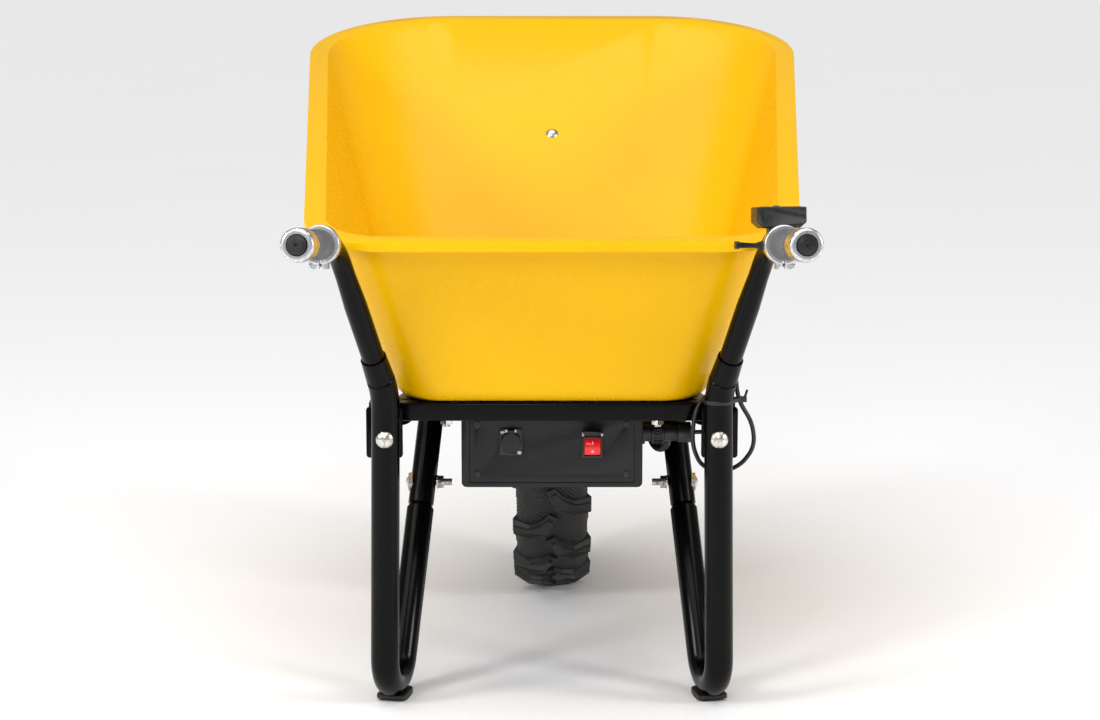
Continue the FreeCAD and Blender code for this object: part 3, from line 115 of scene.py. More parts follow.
# the curly lead's route, in millimetres, and how its strand is laid
COIL_ROUTE = [(113, -128, 296), (127, -128, 296), (135, -116, 281), (131, -92, 268),
              (124, -62, 264), (119, -34, 273), (118, -12, 289), (118, 10, 300)]
COIL_STEPS = 16          # points to a turn
COIL_END = 0.008         # length over which the coil opens at either end

# a grip rib on the plug: its width, height and sinking, and its part of the plug's length
RIB_WIDTH = 0.0011
RIB_HEIGHT = 0.0016
RIB_SUNK = 0.0002
RIB_RUN = 0.8
RIBS = 22

# the marks on the rocker
MARK_OFF_MIDDLE = 0.0052
MARK_LIFT = 0.0001
MARK_THICK = 0.0003
BAR_MARK = (0.0009, 0.0036, MARK_THICK)
RING_MARK_R = (0.0011, 0.0018)
RING_MARK_WIDTH = 0.85   # of its height
RING_MARK_STEPS = 32

# the studio; each softbox has a name, a place, a point it faces, a size and a power in watts
SOFTBOXES = (("softbox_left", (-2.2, -1.6, 1.5), (0, 0, 0.45), 0.7, 34),
             ("softbox_right", (2.4, -1.2, 1.3), (0, 0, 0.45), 0.7, 30),
             ("softbox_rear", (-0.5, -3.6, 2.3), (0, 0, 0.5), 1.2, 20))
CEILING_SPREAD = 70      # degrees
CEILING_TILT = (14, -6)
GLOW = 0.26
FLOOR_Z = -0.0004
SENSOR_WIDTH = 36.0
LENS_SHIFT = -2.0 / 1100.0   # sideways, as a part of the picture's width


# ---------------------------------------------------------------- colours and nodes
def linear(hex_colour):
    """An sRGB hex colour, or one that is linear already, as linear red, green, blue and alpha."""
    if not isinstance(hex_colour, str):
        return tuple(hex_colour)[:3] + (1.0,)
    parts = [int(hex_colour[k:k + 2], 16) / 255 for k in (1, 3, 5)]
    flat = [c / 12.92 if c <= 0.04045 else ((c + 0.055) / 1.055) ** 2.4 for c in parts]
    return (*flat, 1.0)


def add(tree, kind, settings=(), **sockets):
    """Adds a node. settings are its own properties; a socket gets a value or another node's output.

    A socket is named with _ for each space, or by its number after a _."""
    node = tree.nodes.new(kind)
    for name, value in dict(settings).items():
        setattr(node, name, value)
    for name, value in sockets.items():
        key = name.replace("_", " ")
        socket = node.inputs[int(key[1:])] if key[1:].isdigit() else node.inputs[key]
        if isinstance(value, bpy.types.NodeSocket):
            tree.links.new(value, socket)
        else:
            socket.default_value = value
    return node


def ramp(tree, value, low, high, first, last):
    """Maps a value from low..high to a colour from first to last."""
    node = add(tree, "ShaderNodeValToRGB", Fac=value)
    node.color_ramp.elements[0].position = low
    node.color_ramp.elements[1].position = high
    node.color_ramp.elements[0].color = first
    node.color_ramp.elements[1].color = last
    return node.outputs["Color"]


def per_metre(size_mm):
    """The scale of a noise whose blotches are about this size."""
    return 1.0 / (size_mm * MM)


def finish_material(name, base, worn, blotch_mm, grain_mm, bump, rough, **shader):
    """A surface with blotches of wear, a fine grain in its height and a gloss that varies.

    base and worn are colours, rough is the gloss's range, bump the grain's height in millimetres."""
    material = bpy.data.materials.new(name)
    material.use_nodes = True
    tree = material.node_tree
    tree.nodes.clear()
    place = add(tree, "ShaderNodeTexCoord").outputs["Object"]
    blotch = add(tree, "ShaderNodeTexNoise", Vector=place, Scale=per_metre(blotch_mm),
                 Detail=6.0, Roughness=0.62)
    grain = add(tree, "ShaderNodeTexNoise", Vector=place, Scale=per_metre(grain_mm),
                Detail=3.0, Roughness=0.55)
    scratch_place = add(tree, "ShaderNodeMapping", Vector=place, Scale=(9.0, 1.0, 3.0),
                        Rotation=(0.4, 0.3, 0.9))
    scratch = add(tree, "ShaderNodeTexNoise", Vector=scratch_place.outputs["Vector"],
                  Scale=per_metre(26.0), Detail=8.0)
    rubbed = add(tree, "ShaderNodeMath", {"operation": "MULTIPLY"}, _0=blotch.outputs["Fac"],
                 _1=scratch.outputs["Fac"])
    colour = ramp(tree, rubbed.outputs[0], 0.22, 0.46, linear(base), linear(worn))
    gloss = add(tree, "ShaderNodeMapRange", Value=rubbed.outputs[0], From_Min=0.12, From_Max=0.42,
                To_Min=rough[0], To_Max=rough[1])
    height = add(tree, "ShaderNodeBump", Height=grain.outputs["Fac"], Distance=bump * MM, Strength=0.6)
    surface = add(tree, "ShaderNodeBsdfPrincipled", Base_Color=colour, Roughness=gloss.outputs[0],
                  Normal=height.outputs[0], **shader)
    add(tree, "ShaderNodeOutputMaterial", Surface=surface.outputs[0])
    return material


def make_finishes(colours):
    """Every finish on the barrow, by what it is made of and how its surface was made.

    Each has its colour, its worn colour, the size of its blotches and of its grain and the height of
    the grain in millimetres, the range of its gloss, and what else its shader is given."""
    metal = {"Metallic": 1.0}
    finishes = {
        # deep yellow with a soft gloss, a little uneven where the mould was, duller where rubbed
        "moulded_polypropylene": (colours.tub, "#E8B000", 260, 6.0, 0.002, (0.24, 0.31),
                                  {"IOR": 1.49, "Specular_IOR_Level": 0.17}),
        # powder coat on steel tube: near black with a faint orange peel that breaks up highlights
        "powder_coated_tube": (colours.frame, "#060606", 60, 2.2, 0.004, (0.17, 0.26),
                               {"IOR": 1.5, "Specular_IOR_Level": 0.13}),
        # textured powder coat on sheet: charcoal with a fine grit that catches light as a haze
        "textured_powder_coat": ("#18181A", "#1F2022", 90, 0.9, 0.05, (0.4, 0.55),
                                 {"IOR": 1.5, "Specular_IOR_Level": 0.35}),
        # zinc plate on forged fasteners: bright grey, mottled and a little yellowed, with a soft shine
        "zinc_plated_steel": ("#D8D6CE", "#8F8B80", 5, 1.1, 0.05, (0.2, 0.42), metal),
        # die-cast aluminium, tumbled: pale and cool, with a slight ripple
        "tumbled_aluminium": ("#D2D3D6", "#9DA0A6", 14, 1.0, 0.03, (0.26, 0.42), metal),
        # cast aluminium left as it came from the mould: dull grey with a grain
        "cast_aluminium": ("#7E8084", "#5C5E62", 22, 0.8, 0.08, (0.38, 0.58), metal),
        # turned steel: axle ends and springs
        "turned_steel": ("#B4B2AC", "#76746F", 9, 0.7, 0.03, (0.22, 0.4), metal),
        # black-oxide steel: socket screws, nearly black with a dull metal shine
        "black_oxide_steel": ("#3A3A3C", "#5A5856", 4, 0.6, 0.03, (0.34, 0.5), metal),
        # rubber grips: warm grey, matt, paler where hands polish it
        "thermoplastic_rubber": (colours.grips, "#77777A", 18, 0.7, 0.06, (0.55, 0.75), {"IOR": 1.5}),
        # moulded ABS: black with a spark-eroded grain, satin
        "moulded_abs": ("#0D0D0E", "#1A1A1C", 24, 0.6, 0.05, (0.32, 0.48), {"IOR": 1.54}),
        # clear acrylic over a dark display: a black mirror with a few hair scratches
        "acrylic_lens": ("#06080A", "#0C1014", 12, 2.5, 0.01, (0.05, 0.16), {"IOR": 1.49}),
        # tinted polycarbonate rocker, lit from within: clear red, wet gloss
        "tinted_polycarbonate": (colours.rocker, "#E02A28", 8, 1.2, 0.01, (0.12, 0.24),
                                 {"IOR": 1.58, "Emission_Color": linear("#FF1A14"),
                                  "Emission_Strength": 0.25}),
        # pad-printed white ink: opaque, matt
        "printed_ink": ("#F2F0EE", "#DAD6D2", 3, 0.6, 0.01, (0.4, 0.55), {}),
        # tyre tread rubber: charcoal black, matt, greyed by dust on its high places
        "tread_rubber": ("#151515", "#2A2928", 35, 0.9, 0.08, (0.52, 0.72), {"IOR": 1.52}),
        # PVC cable jacket: black with a soft satin shine
        "pvc_jacket": ("#0E0E0F", "#1B1B1D", 15, 0.8, 0.03, (0.34, 0.5), {"IOR": 1.53}),
        # moulded neoprene, as on the feet: black, matt and scuffed
        "moulded_neoprene": ("#131313", "#2E2C29", 12, 0.9, 0.09, (0.5, 0.7), {}),
        # heat-shrunk sleeve on the batteries: dark blue-grey film
        "shrink_film": ("#20242C", "#2C313B", 30, 1.5, 0.03, (0.3, 0.5), {}),
        # painted studio floor: off-white, with a very faint unevenness
        "studio_paint": (colours.floor, "#F6F6F7", 900, 30.0, 0.05, (0.55, 0.7), {}),
    }
    return {name: finish_material(name, *values, **shader) for name, (*values, shader) in finishes.items()}


FINISHES = {}


# ---------------------------------------------------------------- making pieces
def new_object(name, mesh, finish=None):
    thing = bpy.data.objects.new(name, mesh)
    bpy.context.scene.collection.objects.link(thing)
    if finish:
        mesh.materials.clear()
        mesh.materials.append(FINISHES[finish])
    return thing


def settled(thing):
    """The object with its modifiers worked into its mesh."""
    bpy.context.view_layer.update()
    evaluated = thing.evaluated_get(bpy.context.evaluated_depsgraph_get())
    mesh = bpy.data.meshes.new_from_object(evaluated)
    thing.modifiers.clear()
    old = thing.data
    thing.data = mesh
    if old.users == 0 and isinstance(old, bpy.types.Mesh):
        bpy.data.meshes.remove(old)
    return thing


def smoothed(thing, angle=32.0):
    """Smooth shading, with a crease wherever two faces meet at more than the angle."""
    thing.data.shade_smooth()
    thing.data.set_sharp_from_angle(angle=math.radians(angle))
    return thing


def body_named(node):
    return frame["nodes"][node]["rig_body"]


def finished_copy(node, name, finish, round_mm=0.0, steps=2, angle=32.0):
    """A designed piece with its seams merged and its edges rounded, in its finish. It stands for the node."""
    mesh = frame["nodes"][node].data.copy()
    work = bmesh.new()
    work.from_mesh(mesh)
    bmesh.ops.remove_doubles(work, verts=work.verts, dist=0.00001)
    if round_mm:
        flat = [e for e in work.edges
                if len(e.link_faces) == 2 and e.calc_face_angle(0.0) < math.radians(0.2)]
        bmesh.ops.dissolve_edges(work, edges=flat, use_verts=False)
    work.to_mesh(mesh)
    work.free()
    piece = new_object(name, mesh, finish)
    if round_mm:
        rounding = piece.modifiers.new("edge_rounding", "BEVEL")
        rounding.width = round_mm * MM
        rounding.segments = steps
        rounding.limit_method = "ANGLE"
        rounding.angle_limit = math.radians(40)
        settled(piece)
    smoothed(piece, angle)
    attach(piece, body_named(node))
    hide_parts(node)
    return piece


def painted(node, finish):
    """A designed piece shown as it is, in its finish."""
    thing = frame["nodes"][node]
    thing.data.materials.clear()
    thing.data.materials.append(FINISHES[finish])
    return thing


def mesh_from(verts, faces):
    mesh = bpy.data.meshes.new("made")
    mesh.from_pydata([tuple(v) for v in verts], [], faces)
    work = bmesh.new()
    work.from_mesh(mesh)
    bmesh.ops.remove_doubles(work, verts=work.verts, dist=0.000002)
    bmesh.ops.recalc_face_normals(work, faces=work.faces)
    work.to_mesh(mesh)
    work.free()
    return mesh


def joined(name, things, finish):
    """Several meshes as one piece."""
    work = bmesh.new()
    for thing in things:
        work.from_mesh(thing.data)
        bpy.data.objects.remove(thing)
    mesh = bpy.data.meshes.new(name)
    work.to_mesh(mesh)
    work.free()
    return new_object(name, mesh, finish)


def on_bar(distance, left=False):
    """A point on a handle bar's axis, this far from its end."""
    point = BAR_END - BAR_DIR * distance
    return Vector((-point.x, point.y, point.z)) if left else point


def bar_turn(left=False):
    """Turns +Z to point rearwards along a handle bar."""
    rear = Vector((-BAR_DIR.x, BAR_DIR.y, BAR_DIR.z)) if left else BAR_DIR
    return rear.to_track_quat("Z", "Y").to_matrix().to_4x4()


# ---------------------------------------------------------------- geometry node trees
def new_tree(name, inputs):
    """A tree with named inputs, given as (name, kind, default), and one geometry output."""
    tree = bpy.data.node_groups.new(name, "GeometryNodeTree")
    tree.interface.new_socket("Geometry", in_out="INPUT", socket_type="NodeSocketGeometry")
    for label, kind, default in inputs:
        socket = tree.interface.new_socket(label, in_out="INPUT", socket_type="NodeSocket" + kind)
        if default is not None:
            socket.default_value = default
    tree.interface.new_socket("Geometry", in_out="OUTPUT", socket_type="NodeSocketGeometry")
    return tree, add(tree, "NodeGroupInput").outputs


def end_tree(tree, geometry, material):
    real = add(tree, "GeometryNodeRealizeInstances", Geometry=geometry)
    dressed = add(tree, "GeometryNodeSetMaterial", Geometry=real.outputs[0], Material=material)
    add(tree, "NodeGroupOutput", Geometry=dressed.outputs[0])
    return tree


def apply_tree(thing, tree, **values):
    """Runs a tree on the object with these inputs and keeps the result as its plain mesh."""
    modifier = thing.modifiers.new("shape", "NODES")
    modifier.node_group = tree
    keys = {s.name: s.identifier for s in tree.interface.items_tree if s.in_out == "INPUT"}
    for name, value in values.items():
        modifier[keys[name.replace("_", " ")]] = value
    return settled(thing)


def beads_tree():
    """Round beads in rings about Z, ring after ring down the axis."""
    tree, given = new_tree("beads_round_a_bar", [
        ("Rings", "Int", 10), ("Pitch", "Float", 0.004), ("Start", "Float", 0.0),
        ("Radius", "Float", 0.015), ("Bead", "Float", 0.0008), ("Around", "Int", 48),
        ("Finish", "Material", None)])
    line = add(tree, "GeometryNodeMeshLine", Count=given["Rings"],
               Offset=add(tree, "ShaderNodeCombineXYZ", Z=given["Pitch"]).outputs[0],
               Start_Location=add(tree, "ShaderNodeCombineXYZ", Z=given["Start"]).outputs[0])
    ring = add(tree, "GeometryNodeCurvePrimitiveCircle", Resolution=given["Around"], Radius=given["Radius"])
    section = add(tree, "GeometryNodeCurvePrimitiveCircle", Resolution=8, Radius=given["Bead"])
    bead = add(tree, "GeometryNodeCurveToMesh", Curve=ring.outputs[0], Profile_Curve=section.outputs[0])
    rings = add(tree, "GeometryNodeInstanceOnPoints", Points=line.outputs[0], Instance=bead.outputs[0])
    return end_tree(tree, rings.outputs[0], given["Finish"])


def turned_copies_tree(axis):
    """Copies of one shape set round the X or Z axis, each turned a step further."""
    tree, given = new_tree("copies_round_" + axis.lower(), [
        ("Copies", "Int", 16), ("First Angle", "Float", 0.0), ("Finish", "Material", None)])
    points = add(tree, "GeometryNodePoints", Count=given["Copies"])
    index = add(tree, "GeometryNodeInputIndex")
    step = add(tree, "ShaderNodeMath", {"operation": "DIVIDE"}, _0=2 * math.pi, _1=given["Copies"])
    turn = add(tree, "ShaderNodeMath", {"operation": "MULTIPLY_ADD"}, _0=index.outputs[0], _1=step.outputs[0],
               _2=given["First Angle"])
    about = add(tree, "ShaderNodeCombineXYZ", **{axis: turn.outputs[0]})
    copies = add(tree, "GeometryNodeInstanceOnPoints", Points=points.outputs[0], Instance=given["Geometry"],
                 Rotation=about.outputs[0])
    return end_tree(tree, copies.outputs[0], given["Finish"])


def knurl_tree():
    """Raises every face of a mesh into a blunt pyramid."""
    tree, given = new_tree("raised_faces", [
        ("Height", "Float", 0.0006), ("Top", "Float", 0.35), ("Finish", "Material", None)])
    raised = add(tree, "GeometryNodeExtrudeMesh", Mesh=given["Geometry"], Offset_Scale=given["Height"],
                 Individual=True)
    pointed = add(tree, "GeometryNodeScaleElements", Geometry=raised.outputs["Mesh"],
                  Selection=raised.outputs["Top"], Scale=given["Top"])
    return end_tree(tree, pointed.outputs[0], given["Finish"])


def tube_tree():
    """A round tube along the piece's own wire."""
    tree, given = new_tree("tube_along_a_wire", [
        ("Radius", "Float", 0.002), ("Around", "Int", 10), ("Finish", "Material", None)])
    wire = add(tree, "GeometryNodeMeshToCurve", Mesh=given["Geometry"])
    section = add(tree, "GeometryNodeCurvePrimitiveCircle", Resolution=given["Around"],
                  Radius=given["Radius"])
    skin = add(tree, "GeometryNodeCurveToMesh", Curve=wire.outputs[0], Profile_Curve=section.outputs[0],
               Fill_Caps=True)
    return end_tree(tree, skin.outputs[0], given["Finish"])


TREES = {"beads": beads_tree(), "round_axle": turned_copies_tree("X"), "round_bar": turned_copies_tree("Z"),
         "knurl": knurl_tree(), "tube": tube_tree()}


# ---------------------------------------------------------------- wheel
def carcass_section(half, crown, bead, bead_half):
    """The tyre's outside from one bead over the crown to the other, as (x, radius)."""
    right = []
    for k in range(SECTION_STEPS + 1):
        t = k / SECTION_STEPS
        r = bead + (crown - bead) * math.sin(t * math.pi / 2) ** CROWN_CURVE
        x = bead_half + (half - bead_half) * math.sin(min(1.0, t * 2) * math.pi / 2)
        if t > 0.5:
            x = half * math.cos((t - 0.5) * math.pi) ** BELLY
        right.append((x, r))
    return right + [(-x, r) for x, r in reversed(right[:-1])]


def spun(section, around):
    """A closed section of (x, radius) points turned about the axle."""
    verts, faces = [], []
    for i in range(around):
        a = 2 * math.pi * i / around
        for x, r in section:
            verts.append(AXLE + Vector((x, -r * math.sin(a), r * math.cos(a))))
    count = len(section)
    for i in range(around):
        for j in range(count):
            k = (j + 1) % count
            n = (i + 1) % around
            faces.append((i * count + j, i * count + k, n * count + k, n * count + j))
    return mesh_from(verts, faces)


def resampled(section, pitch):
    """The section's points moved to be evenly spaced."""
    lengths = [0.0]
    for a, b in zip(section, section[1:]):
        lengths.append(lengths[-1] + math.dist(a, b))
    count = max(2, int(lengths[-1] / pitch / 2) * 2)
    out, j = [], 0
    for i in range(count + 1):
        want = lengths[-1] * i / count
        while j < len(lengths) - 2 and lengths[j + 1] < want:
            j += 1
        t = (want - lengths[j]) / (lengths[j + 1] - lengths[j])
        out.append(tuple(p + (q - p) * t for p, q in zip(section[j], section[j + 1])))
    return out


def diamond_carpet(section, around):
    """Diamonds laid over the tread, with their corners at every other crossing of a grid."""
    verts, faces = [], []
    count = len(section)
    for i in range(2 * around):
        a = math.pi * i / around
        for x, r in section:
            verts.append(AXLE + Vector((x, -r * math.sin(a), r * math.cos(a))))
    for i in range(2 * around):
        before, after = (i - 1) % (2 * around), (i + 1) % (2 * around)
        for j in range(1, count - 1):
            if (i + j) % 2:
                faces.append((i * count + j - 1, after * count + j, i * count + j + 1, before * count + j))
    mesh = bpy.data.meshes.new("carpet")
    mesh.from_pydata([tuple(v) for v in verts], [], faces)
    work = bmesh.new()
    work.from_mesh(mesh)
    bmesh.ops.delete(work, geom=[v for v in work.verts if not v.link_faces], context="VERTS")
    bmesh.ops.recalc_face_normals(work, faces=work.faces)
    far = max(work.faces, key=lambda f: (f.calc_center_median() - AXLE).length)
    if far.normal.dot(far.calc_center_median() - AXLE) < 0:
        bmesh.ops.reverse_faces(work, faces=work.faces)
    work.to_mesh(mesh)
    work.free()
    return mesh


def lug_block(side, tread_radius, half):
    """One tread lug: a slanted block with a step down its leading side, following the tyre's section."""
    # outline across the tread (x outward) and along it (s), in millimetres
    low = [(-7, -13), (5, 15), (26, 24), (half + 0.5, 28), (half + 0.5, 3), (28, -1), (13, -8), (3, -19)]
    high = [(-1, -9), (8, 10), (28, 17), (half - 1.0, 20), (half - 1.0, 7), (31, 3.5), (15, -3), (5, -13)]
    rings = [(low, -17.0, half - 6), (low, -5.5, half), (high, -4.6, half), (high, 0.0, half)]
    verts = []
    for outline, level, widest in rings:
        for x, s in outline:
            part = min(1.0, max(0.0, x) / half)
            t = 0.5 + math.acos(part ** LUG_FOLLOW) / math.pi
            r = LUG_FOOT_R + (tread_radius - LUG_FOOT_R) * math.sin(t * math.pi / 2) ** CROWN_CURVE + level
            a = s / tread_radius
            x = min(x, widest)
            verts.append(Vector((side * x, -r * math.sin(a), r * math.cos(a))) * MM)
    n = len(low)
    faces = [tuple(reversed(range(n))), tuple(range(3 * n, 4 * n))]
    for k in range(3):
        for j in range(n):
            m = (j + 1) % n
            faces.append((k * n + j, k * n + m, (k + 1) * n + m, (k + 1) * n + j))
    return mesh_from(verts, faces)


def build_tyre(settings):
    """Carcass with a knurled tread, and two staggered rows of lugs."""
    half, crown = settings.half_width / MM - LUG_SIDE, settings.radius / MM - LUG_DEPTH
    bead, bead_half = settings.bead_radius / MM, settings.bead_half / MM
    outer = resampled(carcass_section(half, crown, bead, bead_half), OUTSIDE_PITCH)
    inner = resampled(carcass_section(half - SIDE_WALL, crown - CROWN_WALL, bead - BEAD_WALL,
                                      bead_half - BEAD_INSET), INSIDE_PITCH)
    section = [(x * MM, r * MM) for x, r in outer + inner[::-1]]
    body = smoothed(new_object("carcass", spun(section, TYRE_STEPS), "tread_rubber"), 50)
    tread = [(x * MM, r * MM) for x, r in resampled(outer, settings.knurl / MM) if r > KNURL_FROM_R]
    around = int(2 * math.pi * settings.radius / settings.knurl / 2)
    knurl = new_object("knurl", diamond_carpet(tread, around), "tread_rubber")
    apply_tree(knurl, TREES["knurl"], Height=settings.knurl * KNURL_RISE, Top=KNURL_TOP,
               Finish=FINISHES["tread_rubber"])
    rows = []
    for side, first in ((-1, 0.0), (1, math.pi / settings.lugs)):
        lug = lug_block(side, settings.radius / MM, settings.half_width / MM)
        row = new_object("lugs", lug, "tread_rubber")
        apply_tree(row, TREES["round_axle"], Copies=settings.lugs, First_Angle=first + settings.first_lug,
                   Finish=FINISHES["tread_rubber"])
        row.data.transform(Matrix.Translation(AXLE))
        rows.append(row)
    tyre = joined("tyre_with_lugs", [body, knurl] + rows, "tread_rubber")
    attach(tyre, "wheel")
    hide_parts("tyre")
    return tyre


def build_grip(settings, left):
    """Rubber sleeve with fine rings, and the bumps round the end cap."""
    side = "left" if left else "right"
    place = Matrix.Translation(on_bar(0.0, left)) @ bar_turn(left)
    room = GRIP_RING - GRIP_CAP - 0.006
    sections = [(-GRIP_CAP, SLEEVE_BORE), (-GRIP_CAP, SLEEVE_EDGE_R), (-GRIP_CAP - SLEEVE_EASED, SLEEVE_R),
                (-GRIP_RING + SLEEVE_EASED, SLEEVE_R), (-GRIP_RING, SLEEVE_EDGE_R), (-GRIP_RING, SLEEVE_BORE)]
    verts, faces = [], []
    for i in range(SLEEVE_STEPS):
        a = 2 * math.pi * i / SLEEVE_STEPS
        verts += [(r * math.cos(a), r * math.sin(a), z) for z, r in sections]
    n = len(sections)
    for i in range(SLEEVE_STEPS):
        here, after = i * n, (i + 1) % SLEEVE_STEPS * n
        for j in range(n):
            k = (j + 1) % n
            faces.append((here + j, here + k, after + k, after + j))
    core = new_object("core", mesh_from(verts, faces), "thermoplastic_rubber")
    smoothed(core)
    rings = new_object("rings", bpy.data.meshes.new("rings"), "thermoplastic_rubber")
    apply_tree(rings, TREES["beads"], Rings=int(room / settings.ring_pitch), Pitch=settings.ring_pitch,
               Start=-GRIP_RING + 0.002, Radius=SLEEVE_R, Bead=settings.ring_height,
               Finish=FINISHES["thermoplastic_rubber"])
    smoothed(rings, 180)
    sleeve = joined("grip_sleeve_" + side, [core, rings], "thermoplastic_rubber")
    sleeve.data.transform(place)
    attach(sleeve, "frame")
    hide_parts("grip_sleeves")
    bump = new_object("bump", bpy.data.meshes.new("bump"), "tumbled_aluminium")
    work = bmesh.new()
    bmesh.ops.create_uvsphere(work, u_segments=16, v_segments=10, radius=1.0)
    stretch = Matrix.Diagonal((*CAP_BUMP_SIZE, 1.0))
    bmesh.ops.transform(work, verts=list(work.verts),
                        matrix=Matrix.Translation((CAP_BUMP_OUT, 0, -GRIP_CAP - 0.0005)) @ stretch)
    bmesh.ops.create_uvsphere(work, u_segments=12, v_segments=8, radius=CAP_PIP_R,
                              matrix=Matrix.Translation((CAP_PIP_OUT, 0, -CAP_PIP_IN)))
    work.to_mesh(bump.data)
    work.free()
    apply_tree(bump, TREES["round_bar"], Copies=settings.bumps, Finish=FINISHES["tumbled_aluminium"])
    smoothed(bump, 180)
    bump.name = "grip_cap_bumps_" + side
    bump.data.transform(place)
    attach(bump, "frame")


def build_coil(settings):
    """The curly part of the motor's lead: one strand wound round the lead's route."""
    points = [Vector(p) * MM for p in COIL_ROUTE]
    for _ in range(2):
        cut = [points[0]]
        for a, b in zip(points, points[1:]):
            cut += [a.lerp(b, 0.25), a.lerp(b, 0.75)]
        points = cut + [points[-1]]
    travel = [0.0]
    for a, b in zip(points, points[1:]):
        travel.append(travel[-1] + (b - a).length)
    steps = int(travel[-1] / settings.coil_pitch * COIL_STEPS)
    side, wire, j = Vector((0, 0, 1)), [], 0
    for i in range(steps + 1):
        want = travel[-1] * i / steps
        while j < len(travel) - 2 and travel[j + 1] < want:
            j += 1
        at = points[j].lerp(points[j + 1], (want - travel[j]) / max(1e-9, travel[j + 1] - travel[j]))
        along = (points[min(j + 2, len(points) - 1)] - points[max(j - 1, 0)]).normalized()
        side = (side - along * side.dot(along)).normalized()
        turn = 2 * math.pi * want / settings.coil_pitch
        ends = min(1.0, want / COIL_END, (travel[-1] - want) / COIL_END)
        out = (settings.coil_radius - settings.strand_radius) * ends
        wire.append(at + (side * math.cos(turn) + along.cross(side) * math.sin(turn)) * out)
    mesh = bpy.data.meshes.new("strand")
    mesh.from_pydata([tuple(p) for p in wire], [(i, i + 1) for i in range(len(wire) - 1)], [])
    coil = new_object("curly_motor_lead", mesh, "pvc_jacket")
    apply_tree(coil, TREES["tube"], Radius=settings.strand_radius, Around=10, Finish=FINISHES["pvc_jacket"])
    smoothed(coil, 60)
    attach(coil, "frame")
    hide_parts("motor_coil")


def plug_ribs(node, count, name):
    """Straight grip ribs round a part of the plug, whose axis is along X."""
    low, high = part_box(node)
    centre = (low + high) / 2
    radius, run = (high.z - low.z) / 2, (high.x - low.x) * RIB_RUN
    rib = new_object(name, bpy.data.meshes.new(name), "moulded_abs")
    work = bmesh.new()
    bmesh.ops.create_cube(work, size=1.0, matrix=Matrix.Translation((0, 0, radius - RIB_SUNK))
                          @ Matrix.Diagonal((run, RIB_WIDTH, RIB_HEIGHT, 1.0)))
    work.to_mesh(rib.data)
    work.free()
    apply_tree(rib, TREES["round_axle"], Copies=count, Finish=FINISHES["moulded_abs"])
    rib.data.transform(Matrix.Translation(centre))
    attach(rib, "frame")


def ring_mark(work):
    """Adds the ring of the off mark to a mesh in work, flat about its own origin."""
    inner, outer = RING_MARK_R
    half = MARK_THICK / 2
    section = ((inner, -half), (outer, -half), (outer, half), (inner, half))
    rows = []
    for k in range(RING_MARK_STEPS):
        a = 2 * math.pi * k / RING_MARK_STEPS
        rows.append([work.verts.new((r * math.cos(a) * RING_MARK_WIDTH, r * math.sin(a), z))
                     for r, z in section])
    for k, here in enumerate(rows):
        after = rows[(k + 1) % RING_MARK_STEPS]
        for m in range(4):
            n = (m + 1) % 4
            work.faces.new((here[m], after[m], after[n], here[n]))
    bmesh.ops.recalc_face_normals(work, faces=work.faces)


def rocker_marks():
    """The white bar and ring on the rocker, lying on its face."""
    low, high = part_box("switch_rocker")
    x, middle = (low.x + high.x) / 2, (low.z + high.z) / 2
    across = Vector((1, 0, 0))
    things = []
    for label, z in (("on", middle + MARK_OFF_MIDDLE), ("off", middle - MARK_OFF_MIDDLE)):
        start = Vector((x, low.y - 0.02, z))
        found, point, normal, _ = frame["nodes"]["switch_rocker"].ray_cast(start, Vector((0, 1, 0)))
        if not found:
            raise RuntimeError("no rocker face under the " + label + " mark")
        turn = Matrix((across, normal.cross(across), normal)).transposed().to_4x4()
        work = bmesh.new()
        if label == "on":
            bmesh.ops.create_cube(work, size=1.0, matrix=Matrix.Diagonal((*BAR_MARK, 1.0)))
        else:
            ring_mark(work)
        bmesh.ops.transform(work, verts=work.verts,
                            matrix=Matrix.Translation(point + normal * MARK_LIFT) @ turn)
        mesh = bpy.data.meshes.new(label)
        work.to_mesh(mesh)
        work.free()
        things.append(new_object(label, mesh, "printed_ink"))
    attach(joined("rocker_marks", things, "printed_ink"), "rocker")


# ---------------------------------------------------------------- settings
def length(name, text, default):
    return bpy.props.FloatProperty(name=name, description=text, default=default, min=0.0, unit="LENGTH",
                                   precision=5)


def colour(name, text, default):
    return bpy.props.FloatVectorProperty(name=name, description=text, default=linear(default)[:3],
                                         subtype="COLOR", min=0.0, max=1.0)


class BarrowColours(bpy.types.PropertyGroup):
    tub: colour("Tub", "Colour of the moulded tub", "#EDB600")
    frame: colour("Frame", "Colour of the powder coat on the tubes", "#020202")
    grips: colour("Grips", "Colour of the rubber grips", "#5C5C5F")
    rocker: colour("Rocker", "Colour of the lit rocker", "#D0141A")
    floor: colour("Floor", "Colour of the studio floor", "#FAFAFB")


class BarrowTyre(bpy.types.PropertyGroup):
    radius: length("Radius", "Radius over the lugs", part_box("tyre")[1].z - AXLE.z)
    half_width: length("Half width", "Half the width over the lugs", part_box("tyre")[1].x)
    bead_radius: length("Bead radius", "Radius where the tyre sits on the rim", 0.101)
    bead_half: length("Bead half width", "Half the distance between the beads", 0.034)
    knurl: length("Knurl", "Spacing of the diamonds between the lugs", 0.0032)
    lugs: bpy.props.IntProperty(name="Lugs", description="Lugs in each row", default=16, min=4)
    first_lug: bpy.props.FloatProperty(name="First lug", description="Where the first lug of a row stands",
                                       default=0.06, subtype="ANGLE")


class BarrowGrips(bpy.types.PropertyGroup):
    ring_pitch: length("Ring pitch", "Spacing of the fine rings", 0.0032)
    ring_height: length("Ring height", "Radius of each fine ring's bead", 0.0011)
    bumps: bpy.props.IntProperty(name="Bumps", description="Bumps round each end cap", default=8, min=1)


